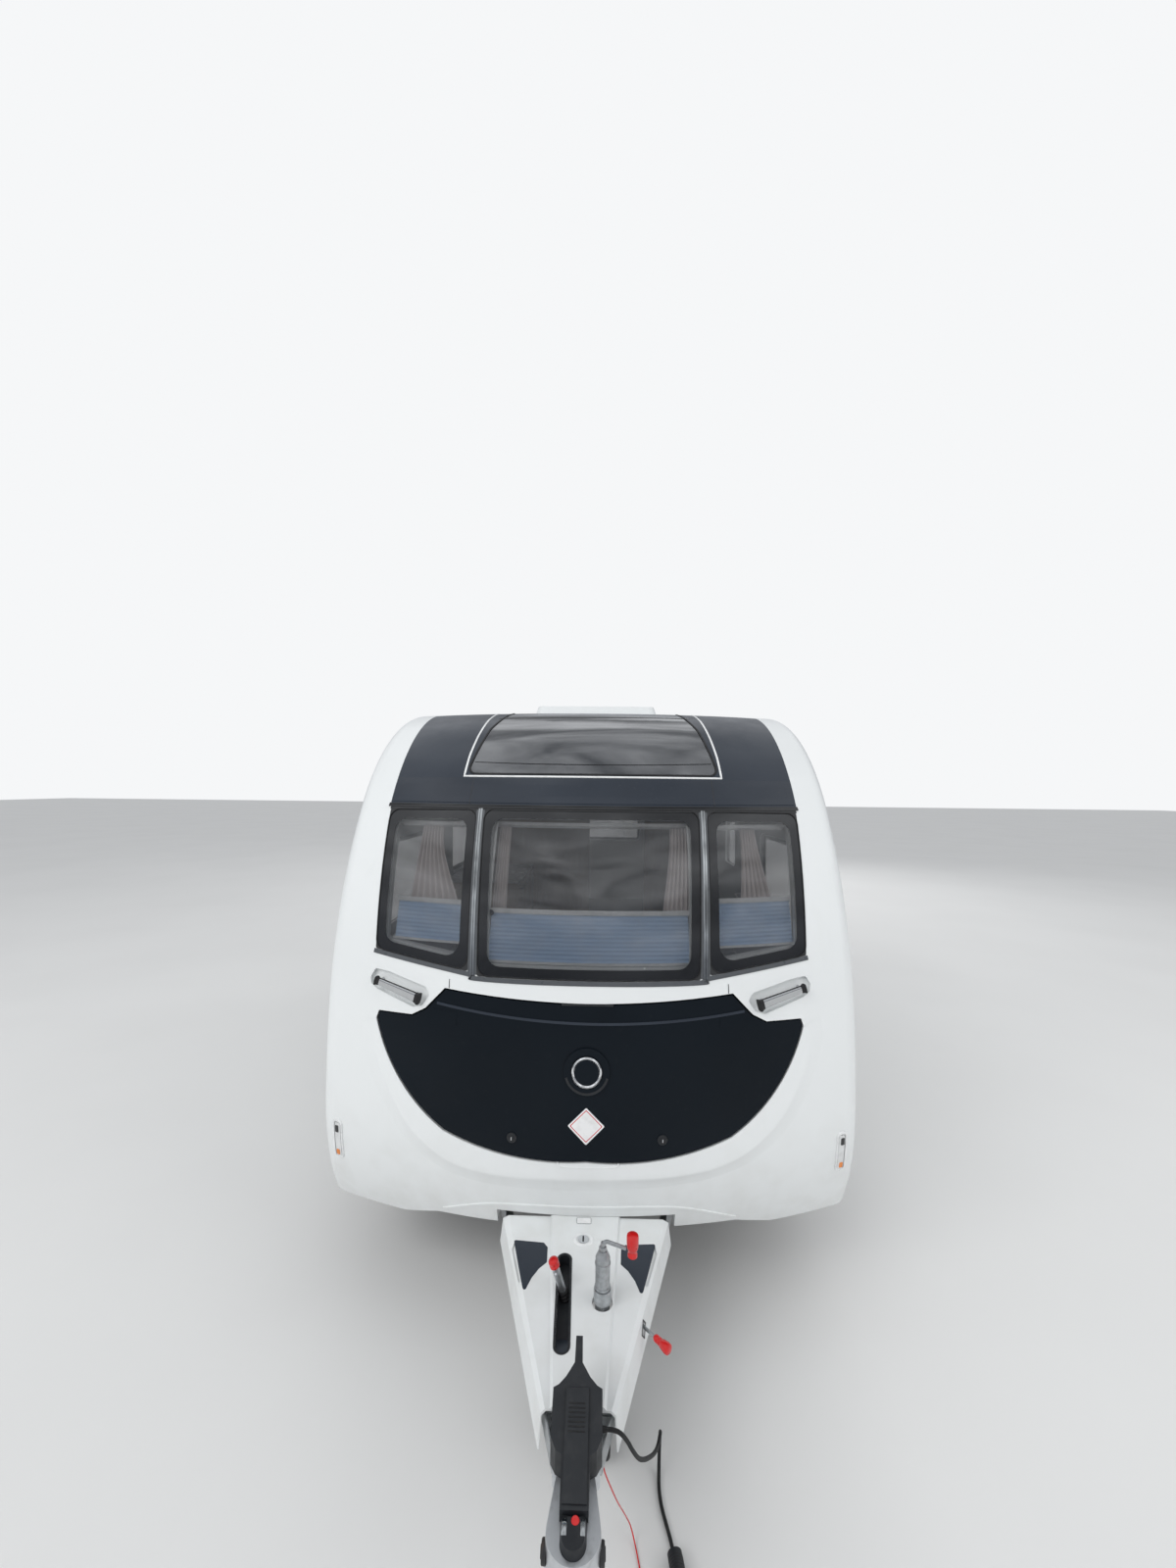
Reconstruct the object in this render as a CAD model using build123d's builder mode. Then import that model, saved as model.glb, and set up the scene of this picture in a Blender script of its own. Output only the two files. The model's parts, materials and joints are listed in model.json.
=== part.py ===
"""Single-axle travel caravan with a bowed front, gas locker, A-frame and jockey wheel.

Millimetres. X is to the right as seen from in front, Y runs from the coupling (low)
to the rear (high), Z is up, and the ground is at zero.
"""

import math
import os

from build123d import *

# Overall body
WIDTH = 2250
HEIGHT = 2615
FRONT_Y = -2560
REAR_Y = 3490
SKIRT_Z = 410
EDGE_R = 90
WALL = 30
FRONT_WALL = 55
SEAM = 0.3
HALF = WIDTH / 2

# Side profile of the front: tangent arcs from the chest up to the roof
CHEST_Z = 850
CHEST_LOW_R = 890
CHEST_R = 3650
CHEST_TURN = 5.5
WINDOW_R = 1900
WINDOW_TURN = 36.0
BOW = 235
FRONT_BAND = 230

# Rear end
REAR_TOP_R = 250
REAR_BAND = 260

# Front windows, upper panel and skylight, each half outline as (x, z)
PANE_T = 18
PANE_GAP = 3
PANE_LIP = 40
PANE_CORNER_R = 42
CENTRE_PANE = [(-470, 2083), (470, 2083), (437, 1440), (-437, 1440)]
SIDE_PANE = [(510, 2080), (930, 2073), (889, 1508), (482, 1456)]
UPPER_T = 12
UPPER_LOW_Z = 2098
UPPER_HALF_W = 942
UPPER_BACK_Y = FRONT_Y + 1250
SKYLIGHT = [(588, 2242), (566, 2343), (534, 2480), (452, 2640)]
SKYLIGHT_BACK_Y = FRONT_Y + 1120
SKYLIGHT_CORNER_R = 35
SKYLIGHT_LIP = 45

# Gas locker in the chest
LID_T = 10
LID_GAP = 7
LID_DEPTH = 2
LID_TOP_Z = 1348
LID_BOTTOM_Z = 772
LID_HINGE_R = 5
LID_HINGE_HALF = 100
LOCKER_HALF_W = 760
LOCKER_LOW_Z = 640
LOCKER_TOP_Z = 1400
LOCKER_BACK_Y = FRONT_Y + 480
LOCKER_WALL = 6

# Grab handles in pockets under the outer windows, half outline as (x, z)
POCKET = [
    (905, 1392),
    (884, 1428),
    (812, 1420),
    (652, 1380),
    (632, 1352),
    (662, 1310),
    (700, 1298),
    (866, 1348),
    (898, 1366),
]
POCKET_DEPTH = 20
POCKET_CORNER_R = 14
HANDLE_OUT = 16
HANDLE_OUTER = (868, 1386, 15, 26)
HANDLE_INNER = (676, 1338, 19, 36)
HANDLE_POST_R = 8

# Side and rear windows
SIDE_PANE_T = 20
SIDE_PANE_PROUD = 3

# Floor and wheels
FLOOR_Z = 560
FLOOR_T = 45
AXLE_Y = 860
TYRE_R = 307
TYRE_W = 185
TYRE_OUT_X = 1080
RIM_R = 178
RIM_W = 150
RIM_WALL = 8
ARCH_R = 385
WHEEL_BOX_X = 850
WHEEL_BOX_HALF = 390
WHEEL_BOX_TOP = 730
BOX_WALL = 8
SPINDLE_R = 20
DRUM_R = 115
HUB_R = 38
HUB_FACE_X = 1004
DRUM_IN_X = 905

# Chassis
RAIL_X = 520
RAIL_H = 170
RAIL_FLANGE = 50
RAIL_T = 4
RAIL_BACK_Y = 3350
RAIL_BEND_Y = -1800
FRAME_FRONT_Y = -3240
FRAME_FRONT_X = 66
FRAME_STEP_Y = -2420
FRAME_STEP_RUN = 90
FRAME_STEP_Z = 452
PLATE_BACK_Y = -2415
PLATE_FRONT_Y = -3150
PLATE_W = 30
AXLE_TUBE_BACK = 150
AXLE_TUBE_FLAT = 50
AXLE_TUBE_Z = 330
JACK_HOLE_R = 5.25
JACK_HOLE_SPACING = 90
JACK_HOLE_Y = AXLE_Y + 700

# A-frame cover: half sections at its back and front as (x, z), and plan outlines as (x, y)
COVER_BACK_Y = -2490
COVER_FRONT_Y = -3160
COVER_BACK = [(333, 412), (322, 500), (300, 512)]
COVER_FRONT = [(112, 362), (104, 462), (92, 474)]
COVER_T = 6
SPINE_BACK = [(140, 508), (130, 520)]
SPINE_FRONT = [(80, 472), (70, 484)]
COVER_INSET = [(264, -2640), (256, -2606), (150, -2622), (142, -2700), (198, -2762), (210, -2806)]
COVER_INSET_DEPTH = 3.5
LEVER_SLOT = (-63, -2845, 350, 46, 92)
CLAMP_HOLE = (-2876, 441, 20, 27)

# Coupling
BALL_Y = -3430
BALL_Z = 432
BALL_R = 25.2
HEAD_TOP = 472
HEAD_HALF = 68
HEAD_FRONT_Y = -3490
HANDLE_HALF = 66
RIDGE_HALF = 30
NOSE_HALF = 31
NOSE_BACK_Y = -3406
NOSE_Y = -3445
NOSE_FRONT_Y = -3476
NOSE_H = 20
HEAD_LOW = BALL_Z - 28
HEAD_BACK = (45, -3270)
HEAD_MIDDLE = (56, -3330)
HEAD_WIDEST_Y = BALL_Y + 20
HOUSING_Z = 434
HOUSING_H = 79
HOUSING_L = 119
HOUSING_CORNER_R = 14
DRAWTUBE_Y = -3180
DRAWTUBE_Z = 440
DRAWTUBE_R = 27
DRAWTUBE_L = 400

# Stabiliser handle's side profile, half plan, and the side of its ridge
HANDLE_SIDE = [
    (-3405, HEAD_TOP + SEAM),
    (-3405, 500),
    (-3290, 545),
    (-3195, 578),
    (-3095, 618),
    (-3084, 608),
    (-3180, 552),
    (-3222, 512),
    (-3240, 476),
    (-3284, 476),
    (-3290, HEAD_TOP + SEAM),
]
HANDLE_PLAN = [
    (9, -3080),
    (11, -3150),
    (33, -3178),
    (52, -3194),
    (HANDLE_HALF, -3200),
    (HANDLE_HALF, -3290),
    (52, -3312),
    (36, -3320),
    (34, -3410),
]
RIDGE_SIDE = [(-3398, 490), (-3398, 507), (-3290, 553), (-3205, 583), (-3190, 570), (-3290, 530)]

# Handbrake lever and its pivot's lug
LEVER_FOOT = Vector(-50, -2800, 440)
LEVER_WAY = Vector(-0.3, -0.1, 1).normalized()
LEVER_L = 150
LEVER_KNOB_R = 17
LEVER_KNOB_L = 30
LUG_X = -29.5
LUG_Z = 428
LUG_W = 17
LUG_L = 30

# Jockey wheel
JOCKEY_X = 66
JOCKEY_Y = -2850
JOCKEY_TUBE_R = 24
JOCKEY_BORE_R = 20.8
JOCKEY_INNER_R = 20.5
JOCKEY_TUBE_LOW = 400
JOCKEY_TUBE_TOP = 650
JOCKEY_WHEEL_R = 108
JOCKEY_WHEEL_W = 60
JOCKEY_TRAIL = 30
JOCKEY_AXLE_R = 8
FORK_TOP = 232
CRANK_ROD_R = 6
CRANK_END = Vector(141, -2856, 684)
GRIP_R = 20
GRIP_OUT = 21.8
GRIP_L = 74
GRIP_DROP = 26
CLAMP_GRIP_R = 11
CLAMP_GRIP_L = 62
CLAMP_FOOT = Vector(193, -2858, 440)
CLAMP_WAY = Vector(0.66, -0.75, 0.05).normalized()
CLAMP_ROD_R = 5
CLAMP_ROD_L = 62

# Corner steadies
STEADY_X = 700
STEADY_Z = 480
STEADY_L = 500
STEADY_W = 60
STEADY_PIN_R = 8
STEADY_FRONT_Y = -1900
STEADY_REAR_Y = 3050

# Doors in the side walls
DOOR_WINDOW_W = 360
DOOR_WINDOW_H = 460
DOOR_WINDOW_Z = 1560
DOOR_GAP = 4
HINGE_R = 6
HINGE_OUT = 8
KNUCKLE_HALF = 30
DOOR_Y = -230
DOOR_W = 580
DOOR_Z = 600
DOOR_H = 1720
DOOR_CORNER_R = 90

# Badge, marker lamps, rear lamps and bumper
BADGE_R = 57
BADGE_Z = 1107
MARKER_X = 1038
MARKER_Z = 707
MARKER_W = 26
MARKER_H = 150
REAR_LAMP_X = 930
REAR_LAMP_Z = 880
REAR_LAMP_W = 150
REAR_LAMP_H = 420
BUMPER_Z = 560
BUMPER_W = 2050
BUMPER_H = 130

# Fridge vents in the left wall, and the wheel arch trims
VENT_Y = 600
VENT_W = 440
VENT_H = 170
VENT_ZS = (865, 1465)
VENT_SLOTS = 5
VENT_PITCH = 26
TRIM_OUT = 8
ARCH_TRIM_W = 28


def arc_points(centre, radius, start, end):
    """Start, middle and end of an arc whose angles are measured up from straight ahead."""
    angles = [start, (start + end) / 2, end]
    return [
        (
            centre[0] - radius * math.cos(math.radians(a)),
            centre[1] + radius * math.sin(math.radians(a)),
        )
        for a in angles
    ]


def front_arcs(inset, low, x):
    """The front's side profile at a place across the width, as (y, z) arcs."""
    y = FRONT_Y + BOW * (x / HALF) ** 2
    low_centre = (y + CHEST_LOW_R, CHEST_Z)
    low_r = CHEST_LOW_R - inset
    start = -math.degrees(math.asin((CHEST_Z - low) / low_r))
    chest_centre = (y + CHEST_R, CHEST_Z)
    turn = math.radians(CHEST_TURN)
    window_centre = (
        chest_centre[0] - (CHEST_R - WINDOW_R) * math.cos(turn),
        chest_centre[1] + (CHEST_R - WINDOW_R) * math.sin(turn),
    )
    top_turn = math.radians(WINDOW_TURN)
    rise = HEIGHT - window_centre[1] - WINDOW_R * math.sin(top_turn)
    top_r = rise / (1 - math.sin(top_turn))
    top_centre = (
        window_centre[0] - (WINDOW_R - top_r) * math.cos(top_turn),
        window_centre[1] + (WINDOW_R - top_r) * math.sin(top_turn),
    )
    return [
        arc_points(low_centre, low_r, start, 0),
        arc_points(chest_centre, CHEST_R - inset, 0, CHEST_TURN),
        arc_points(window_centre, WINDOW_R - inset, CHEST_TURN, WINDOW_TURN),
        arc_points(top_centre, top_r - inset, WINDOW_TURN, 90),
    ]


def front_y(x, z, inset=0):
    """How far forward the front surface stands at a height and a place across."""
    for start, middle, end in front_arcs(inset, SKIRT_Z, x):
        if z <= end[1]:
            arc = ThreePointArc(start, middle, end, mode=Mode.PRIVATE)
            centre = arc.arc_center
            return centre.X - math.sqrt(arc.radius**2 - (z - centre.Y) ** 2)
    return end[0]


def body_form(inset, low):
    """The closed outer form of the body, or the form a wall's thickness inside it."""
    half = HALF - inset
    top = HEIGHT - inset
    rear = REAR_Y - inset
    with BuildPart() as form:
        for x in (-half, 0, half):
            arcs = front_arcs(inset, low, x)
            with BuildSketch(Plane.YZ.offset(x)):
                with BuildLine():
                    for arc in arcs:
                        ThreePointArc(*arc)
                    Line(arcs[-1][-1], (REAR_Y - REAR_TOP_R, top))
                    RadiusArc((REAR_Y - REAR_TOP_R, top), (rear, HEIGHT - REAR_TOP_R), REAR_TOP_R - inset)
                    Polyline((rear, HEIGHT - REAR_TOP_R), (rear, low), arcs[0][0])
                make_face()
        loft()
        side_edges = form.edges().filter_by(
            lambda e: abs(abs(e.center().X) - half) < 1 and e.center().Z > low + 1
        )
        fillet(side_edges, EDGE_R - inset)
    return form.part


def front_prism(outlines, back_y, grow=0, corner_r=0):
    """Closed outlines of (x, z) points, carried forward from a plane behind the front."""
    with BuildPart() as prism:
        with BuildSketch(Plane.XZ.offset(-back_y)) as face:
            for outline in outlines:
                with BuildLine():
                    Polyline(*outline, close=True)
                make_face()
            if corner_r:
                fillet(face.vertices(), corner_r)
            if grow:
                offset(amount=grow)
        extrude(amount=back_y - FRONT_Y + 100)
    return prism.part


def lid_prism(grow=0):
    """The gas locker lid's outline carried forward."""
    with BuildPart() as prism:
        with BuildSketch(Plane.XZ.offset(-LOCKER_BACK_Y)):
            with BuildLine():
                ThreePointArc((0, LID_BOTTOM_Z), (290, 779), (555, 848))
                ThreePointArc((555, 848), (735, 1005), (858, 1238))
                Polyline((858, 1238), (850, 1262), (704, 1264), (645, 1295), (567, 1376))
                ThreePointArc((567, 1376), (290, 1356), (0, LID_TOP_Z))
                mirror(about=Plane.YZ)
            make_face()
            if grow:
                offset(amount=grow)
        extrude(amount=LOCKER_BACK_Y - FRONT_Y + 100)
    return prism.part


def mirrored(points):
    """The same outline on the other side, in the order that keeps it closed."""
    return [(-x, z) for x, z in reversed(points)]


nodes = {}


def keep(name, shape):
    """Labels a finished piece and keeps it for export."""
    shape.label = name
    nodes[name] = shape


side_panes = [SIDE_PANE, mirrored(SIDE_PANE)]
all_panes = [CENTRE_PANE] + side_panes
upper_outline = [
    (-UPPER_HALF_W, UPPER_LOW_Z),
    (UPPER_HALF_W, UPPER_LOW_Z),
    (UPPER_HALF_W, HEIGHT + 50),
    (-UPPER_HALF_W, HEIGHT + 50),
]
skylight_outline = SKYLIGHT + mirrored(SKYLIGHT)

outer_form = body_form(0, SKIRT_Z)
inner_form = body_form(FRONT_WALL, SKIRT_Z - 30)
pane_back_form = body_form(PANE_T + 1, SKIRT_Z - 30)
pane_seat_form = body_form(PANE_T + 1 + SEAM, SKIRT_Z - 30)
upper_back_form = body_form(UPPER_T, SKIRT_Z - 30)
upper_seat_form = body_form(UPPER_T + SEAM, SKIRT_Z - 30)
face_form = body_form(1, SKIRT_Z - 30)

PANE_BACK_Y = FRONT_Y + 1000

# Front moulding
with BuildPart() as front_panel:
    add(outer_form)
    add(inner_form, mode=Mode.SUBTRACT)
    with BuildSketch(Plane.YZ.offset(-WIDTH)):
        band_arcs = front_arcs(FRONT_BAND, SKIRT_Z - 60, HALF)
        with BuildLine():
            for arc in band_arcs:
                ThreePointArc(*arc)
            Polyline(
                band_arcs[-1][-1],
                (band_arcs[-1][-1][0], HEIGHT + 100),
                (REAR_Y + 100, HEIGHT + 100),
                (REAR_Y + 100, SKIRT_Z - 60),
                band_arcs[0][0],
            )
        make_face()
    extrude(amount=2 * WIDTH, mode=Mode.SUBTRACT)
    pane_seats = front_prism(all_panes, PANE_BACK_Y, PANE_GAP, PANE_CORNER_R) - pane_seat_form
    add(pane_seats, mode=Mode.SUBTRACT)
    add(front_prism(all_panes, PANE_BACK_Y, -PANE_LIP, PANE_CORNER_R), mode=Mode.SUBTRACT)
    add(front_prism([upper_outline], UPPER_BACK_Y, SEAM) - upper_seat_form, mode=Mode.SUBTRACT)
    add(
        front_prism([skylight_outline], SKYLIGHT_BACK_Y - SKYLIGHT_LIP, -SKYLIGHT_LIP, SKYLIGHT_CORNER_R),
        mode=Mode.SUBTRACT,
    )
    add(lid_prism(LID_GAP), mode=Mode.SUBTRACT)
    pockets = front_prism([POCKET, mirrored(POCKET)], PANE_BACK_Y, 0, POCKET_CORNER_R)
    add(pockets - body_form(POCKET_DEPTH, SKIRT_Z - 30), mode=Mode.SUBTRACT)
    # The apron rises over the A-frame
    with BuildSketch(Plane.XZ.offset(-FRONT_Y - 400)):
        with BuildLine():
            Polyline(
                (-760, SKIRT_Z - 40),
                (-760, SKIRT_Z),
                (-600, 455),
                (-350, 455),
                (-350, 522),
                (350, 522),
                (350, 455),
                (600, 455),
                (760, SKIRT_Z),
                (760, SKIRT_Z - 40),
                close=True,
            )
        make_face()
    extrude(amount=600, both=True, mode=Mode.SUBTRACT)
keep("front_panel", front_panel.part)
roof_front_y = band_arcs[-1][-1][0]

# Dark panel over the windows, with the skylight let into it
with BuildPart() as upper_panel:
    add(outer_form)
    add(upper_back_form, mode=Mode.SUBTRACT)
    add(front_prism([upper_outline], UPPER_BACK_Y), mode=Mode.INTERSECT)
    add(front_prism([skylight_outline], SKYLIGHT_BACK_Y, PANE_GAP, SKYLIGHT_CORNER_R), mode=Mode.SUBTRACT)
keep("upper_front_panel", upper_panel.part)

with BuildPart() as skylight:
    add(outer_form)
    add(upper_back_form, mode=Mode.SUBTRACT)
    add(front_prism([skylight_outline], SKYLIGHT_BACK_Y, 0, SKYLIGHT_CORNER_R), mode=Mode.INTERSECT)
keep("skylight", skylight.part)

# Acrylic front windows, three panes
with BuildPart() as front_windows:
    add(face_form)
    add(pane_back_form, mode=Mode.SUBTRACT)
    add(front_prism(all_panes, PANE_BACK_Y, 0, PANE_CORNER_R), mode=Mode.INTERSECT)
keep("front_windows", front_windows.part)

# Gas locker lid, with its hinge barrel at the middle of the top edge
hinge_y = front_y(0, LID_TOP_Z) + 4
hinge_z = LID_TOP_Z + LID_GAP - SEAM - LID_HINGE_R
lid_back_form = body_form(LID_DEPTH + LID_T, SKIRT_Z - 30)
lid_face_form = body_form(LID_DEPTH, SKIRT_Z - 30)
with BuildPart() as locker_lid:
    add(lid_face_form)
    add(lid_back_form, mode=Mode.SUBTRACT)
    add(lid_prism(), mode=Mode.INTERSECT)
    with BuildSketch(Plane.YZ.offset(-LID_HINGE_HALF - 5)):
        with Locations((hinge_y, hinge_z)):
            Circle(LID_HINGE_R + SEAM)
    extrude(amount=2 * LID_HINGE_HALF + 10, mode=Mode.SUBTRACT)
keep("gas_locker_lid", locker_lid.part)

with BuildPart() as lid_hinge:
    with BuildSketch(Plane.YZ.offset(-LID_HINGE_HALF)):
        with Locations((hinge_y, hinge_z)):
            Circle(LID_HINGE_R)
    extrude(amount=2 * LID_HINGE_HALF)
# Gas locker tray behind the lid
with BuildPart() as locker_box:
    with BuildSketch(Plane.XY.offset(LOCKER_LOW_Z)):
        with Locations((0, (LOCKER_BACK_Y + FRONT_Y) / 2)):
            Rectangle(2 * LOCKER_HALF_W, LOCKER_BACK_Y - FRONT_Y)
    extrude(amount=LOCKER_TOP_Z - LOCKER_LOW_Z)
    with BuildSketch(Plane.XY.offset(LOCKER_LOW_Z + LOCKER_WALL)):
        with Locations((0, (LOCKER_BACK_Y + FRONT_Y) / 2 - LOCKER_WALL)):
            Rectangle(2 * (LOCKER_HALF_W - LOCKER_WALL), LOCKER_BACK_Y - FRONT_Y)
    extrude(amount=LOCKER_TOP_Z - LOCKER_LOW_Z - 2 * LOCKER_WALL, mode=Mode.SUBTRACT)
    add(body_form(FRONT_WALL + SEAM, SKIRT_Z - 30), mode=Mode.INTERSECT)
keep("gas_locker_box", locker_box.part)

# Floor with the two wheel boxes
floor_front_y = FRONT_Y + 110
with BuildPart() as floor:
    with BuildSketch(Plane.XY.offset(FLOOR_Z)):
        with BuildLine():
            ThreePointArc((-1060, floor_front_y + 215), (0, floor_front_y), (1060, floor_front_y + 215))
            Polyline(
                (1060, floor_front_y + 215),
                (1060, FRONT_Y + 800),
                (HALF - WALL - SEAM, FRONT_Y + 800),
                (HALF - WALL - SEAM, REAR_Y - REAR_BAND),
                (1060, REAR_Y - REAR_BAND),
                (1060, REAR_Y - 110),
                (1030, REAR_Y - WALL - SEAM),
                (-1030, REAR_Y - WALL - SEAM),
                (-1060, REAR_Y - 110),
                (-1060, REAR_Y - REAR_BAND),
                (-HALF + WALL + SEAM, REAR_Y - REAR_BAND),
                (-HALF + WALL + SEAM, FRONT_Y + 800),
                (-1060, FRONT_Y + 800),
                (-1060, floor_front_y + 215),
            )
        make_face()
    extrude(amount=FLOOR_T)
    for side in (-1, 1):
        box_mid = side * (WHEEL_BOX_X + HALF - WALL - SEAM) / 2
        box_w = HALF - WALL - SEAM - WHEEL_BOX_X
        with BuildSketch(Plane.XY.offset(FLOOR_Z)):
            with Locations((box_mid, AXLE_Y)):
                Rectangle(box_w, 2 * WHEEL_BOX_HALF)
        extrude(amount=WHEEL_BOX_TOP - FLOOR_Z)
        with BuildSketch(Plane.XY.offset(FLOOR_Z)):
            with Locations((box_mid + side * BOX_WALL, AXLE_Y)):
                Rectangle(box_w, 2 * (WHEEL_BOX_HALF - BOX_WALL))
        extrude(amount=WHEEL_BOX_TOP - FLOOR_Z - BOX_WALL, mode=Mode.SUBTRACT)
keep("floor", floor.part)

# Side walls: openings as (side, y, z, width, height, corner radius)
side_windows = [
    (-1, -1780, 1330, 940, 560, 60),
    (-1, -300, 1500, 620, 420, 60),
    (-1, 1500, 1330, 800, 560, 60),
    (1, -1780, 1330, 940, 560, 60),
    (1, 1500, 1330, 900, 560, 60),
]
# Small doors as (name, side, y, z, width, height)
small_doors = [
    ("storage_door", 1, -1750, 690, 700, 260),
    ("cassette_door", -1, 2550, 700, 400, 330),
    ("battery_lid", -1, -1000, 700, 330, 330),
]
WALL_TOP = HEIGHT - EDGE_R
for name, side in (("side_wall_left", -1), ("side_wall_right", 1)):
    wall_plane = Plane.YZ.offset(side * (HALF - WALL) if side > 0 else -HALF)
    with BuildPart() as wall:
        with BuildSketch(wall_plane):
            wall_arcs = front_arcs(FRONT_BAND + SEAM, SKIRT_Z, HALF)
            with BuildLine():
                for arc in wall_arcs:
                    ThreePointArc(*arc)
                Polyline(
                    wall_arcs[-1][-1],
                    (wall_arcs[-1][-1][0], WALL_TOP - SEAM),
                    (REAR_Y - REAR_BAND - SEAM, WALL_TOP - SEAM),
                    (REAR_Y - REAR_BAND - SEAM, SKIRT_Z),
                    wall_arcs[0][0],
                )
            make_face()
            with Locations((AXLE_Y, TYRE_R)):
                Circle(ARCH_R, mode=Mode.SUBTRACT)
            for window_side, y, z, w, h, r in side_windows:
                if window_side == side:
                    with Locations((y + w / 2, z + h / 2)):
                        RectangleRounded(w, h, r, mode=Mode.SUBTRACT)
            for door_name, door_side, y, z, w, h in small_doors:
                if door_side == side:
                    with Locations((y + w / 2, z + h / 2)):
                        RectangleRounded(
                            w + 2 * DOOR_GAP, h + 2 * DOOR_GAP, 20 + DOOR_GAP, mode=Mode.SUBTRACT
                        )
            if side > 0:
                with Locations((DOOR_Y + DOOR_W / 2, DOOR_Z + DOOR_H / 2)):
                    RectangleRounded(
                        DOOR_W + 2 * DOOR_GAP,
                        DOOR_H + 2 * DOOR_GAP,
                        DOOR_CORNER_R + DOOR_GAP,
                        mode=Mode.SUBTRACT,
                    )
        extrude(amount=WALL)
    keep(name, wall.part)

# Side windows: a dark pane in each opening, a little proud of the wall
with BuildPart() as side_panes_part:
    for side, y, z, w, h, r in side_windows:
        with BuildSketch(Plane.YZ.offset(HALF - SIDE_PANE_T if side > 0 else -HALF - SIDE_PANE_PROUD)):
            with Locations((y + w / 2, z + h / 2)):
                RectangleRounded(w - 2 * SEAM, h - 2 * SEAM, r)
        extrude(amount=SIDE_PANE_T + SIDE_PANE_PROUD)
keep("side_windows", side_panes_part.part)

# Roof with its two rooflight holes
rooflights = [("front_rooflight", roof_front_y + 330, 700, 500), ("rear_rooflight", 2200, 400, 400)]
with BuildPart() as roof:
    with BuildSketch(Plane.XZ.offset(-roof_front_y - SEAM)):
        with BuildLine():
            Line((-HALF, WALL_TOP), (-HALF + WALL, WALL_TOP))
            RadiusArc((-HALF + WALL, WALL_TOP), (-HALF + EDGE_R, HEIGHT - WALL), EDGE_R - WALL)
            Line((-HALF + EDGE_R, HEIGHT - WALL), (HALF - EDGE_R, HEIGHT - WALL))
            RadiusArc((HALF - EDGE_R, HEIGHT - WALL), (HALF - WALL, WALL_TOP), EDGE_R - WALL)
            Line((HALF - WALL, WALL_TOP), (HALF, WALL_TOP))
            RadiusArc((HALF, WALL_TOP), (HALF - EDGE_R, HEIGHT), -EDGE_R)
            Line((HALF - EDGE_R, HEIGHT), (-HALF + EDGE_R, HEIGHT))
            RadiusArc((-HALF + EDGE_R, HEIGHT), (-HALF, WALL_TOP), -EDGE_R)
        make_face()
    extrude(amount=-(REAR_Y - REAR_BAND - roof_front_y - 2 * SEAM))
    for light_name, y, w, d in rooflights:
        with BuildSketch(Plane.XY.offset(HEIGHT - 2 * WALL)):
            with Locations((0, y)):
                RectangleRounded(w, d, 40)
        extrude(amount=3 * WALL, mode=Mode.SUBTRACT)
keep("roof", roof.part)

# Rear moulding
rear_inner = body_form(WALL, SKIRT_Z - 30)
REAR_WINDOW = (1150, 520, 1420, 60)
with BuildPart() as rear_panel:
    add(outer_form)
    add(rear_inner, mode=Mode.SUBTRACT)
    with BuildSketch(Plane.XY.offset(SKIRT_Z - 60)):
        with Locations((0, REAR_Y - REAR_BAND / 2 + 50)):
            Rectangle(WIDTH + 100, REAR_BAND + 100)
    extrude(amount=HEIGHT, mode=Mode.INTERSECT)
    with BuildSketch(Plane.XZ.offset(-REAR_Y - 50)):
        with Locations((0, REAR_WINDOW[2] + REAR_WINDOW[1] / 2)):
            RectangleRounded(REAR_WINDOW[0], REAR_WINDOW[1], REAR_WINDOW[3])
    extrude(amount=150, mode=Mode.SUBTRACT)
keep("rear_panel", rear_panel.part)

with BuildPart() as rear_window:
    with BuildSketch(Plane.XZ.offset(-REAR_Y)):
        with Locations((0, REAR_WINDOW[2] + REAR_WINDOW[1] / 2)):
            RectangleRounded(REAR_WINDOW[0] - 2 * SEAM, REAR_WINDOW[1] - 2 * SEAM, REAR_WINDOW[3])
    extrude(amount=20)
keep("rear_window", rear_window.part)


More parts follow.
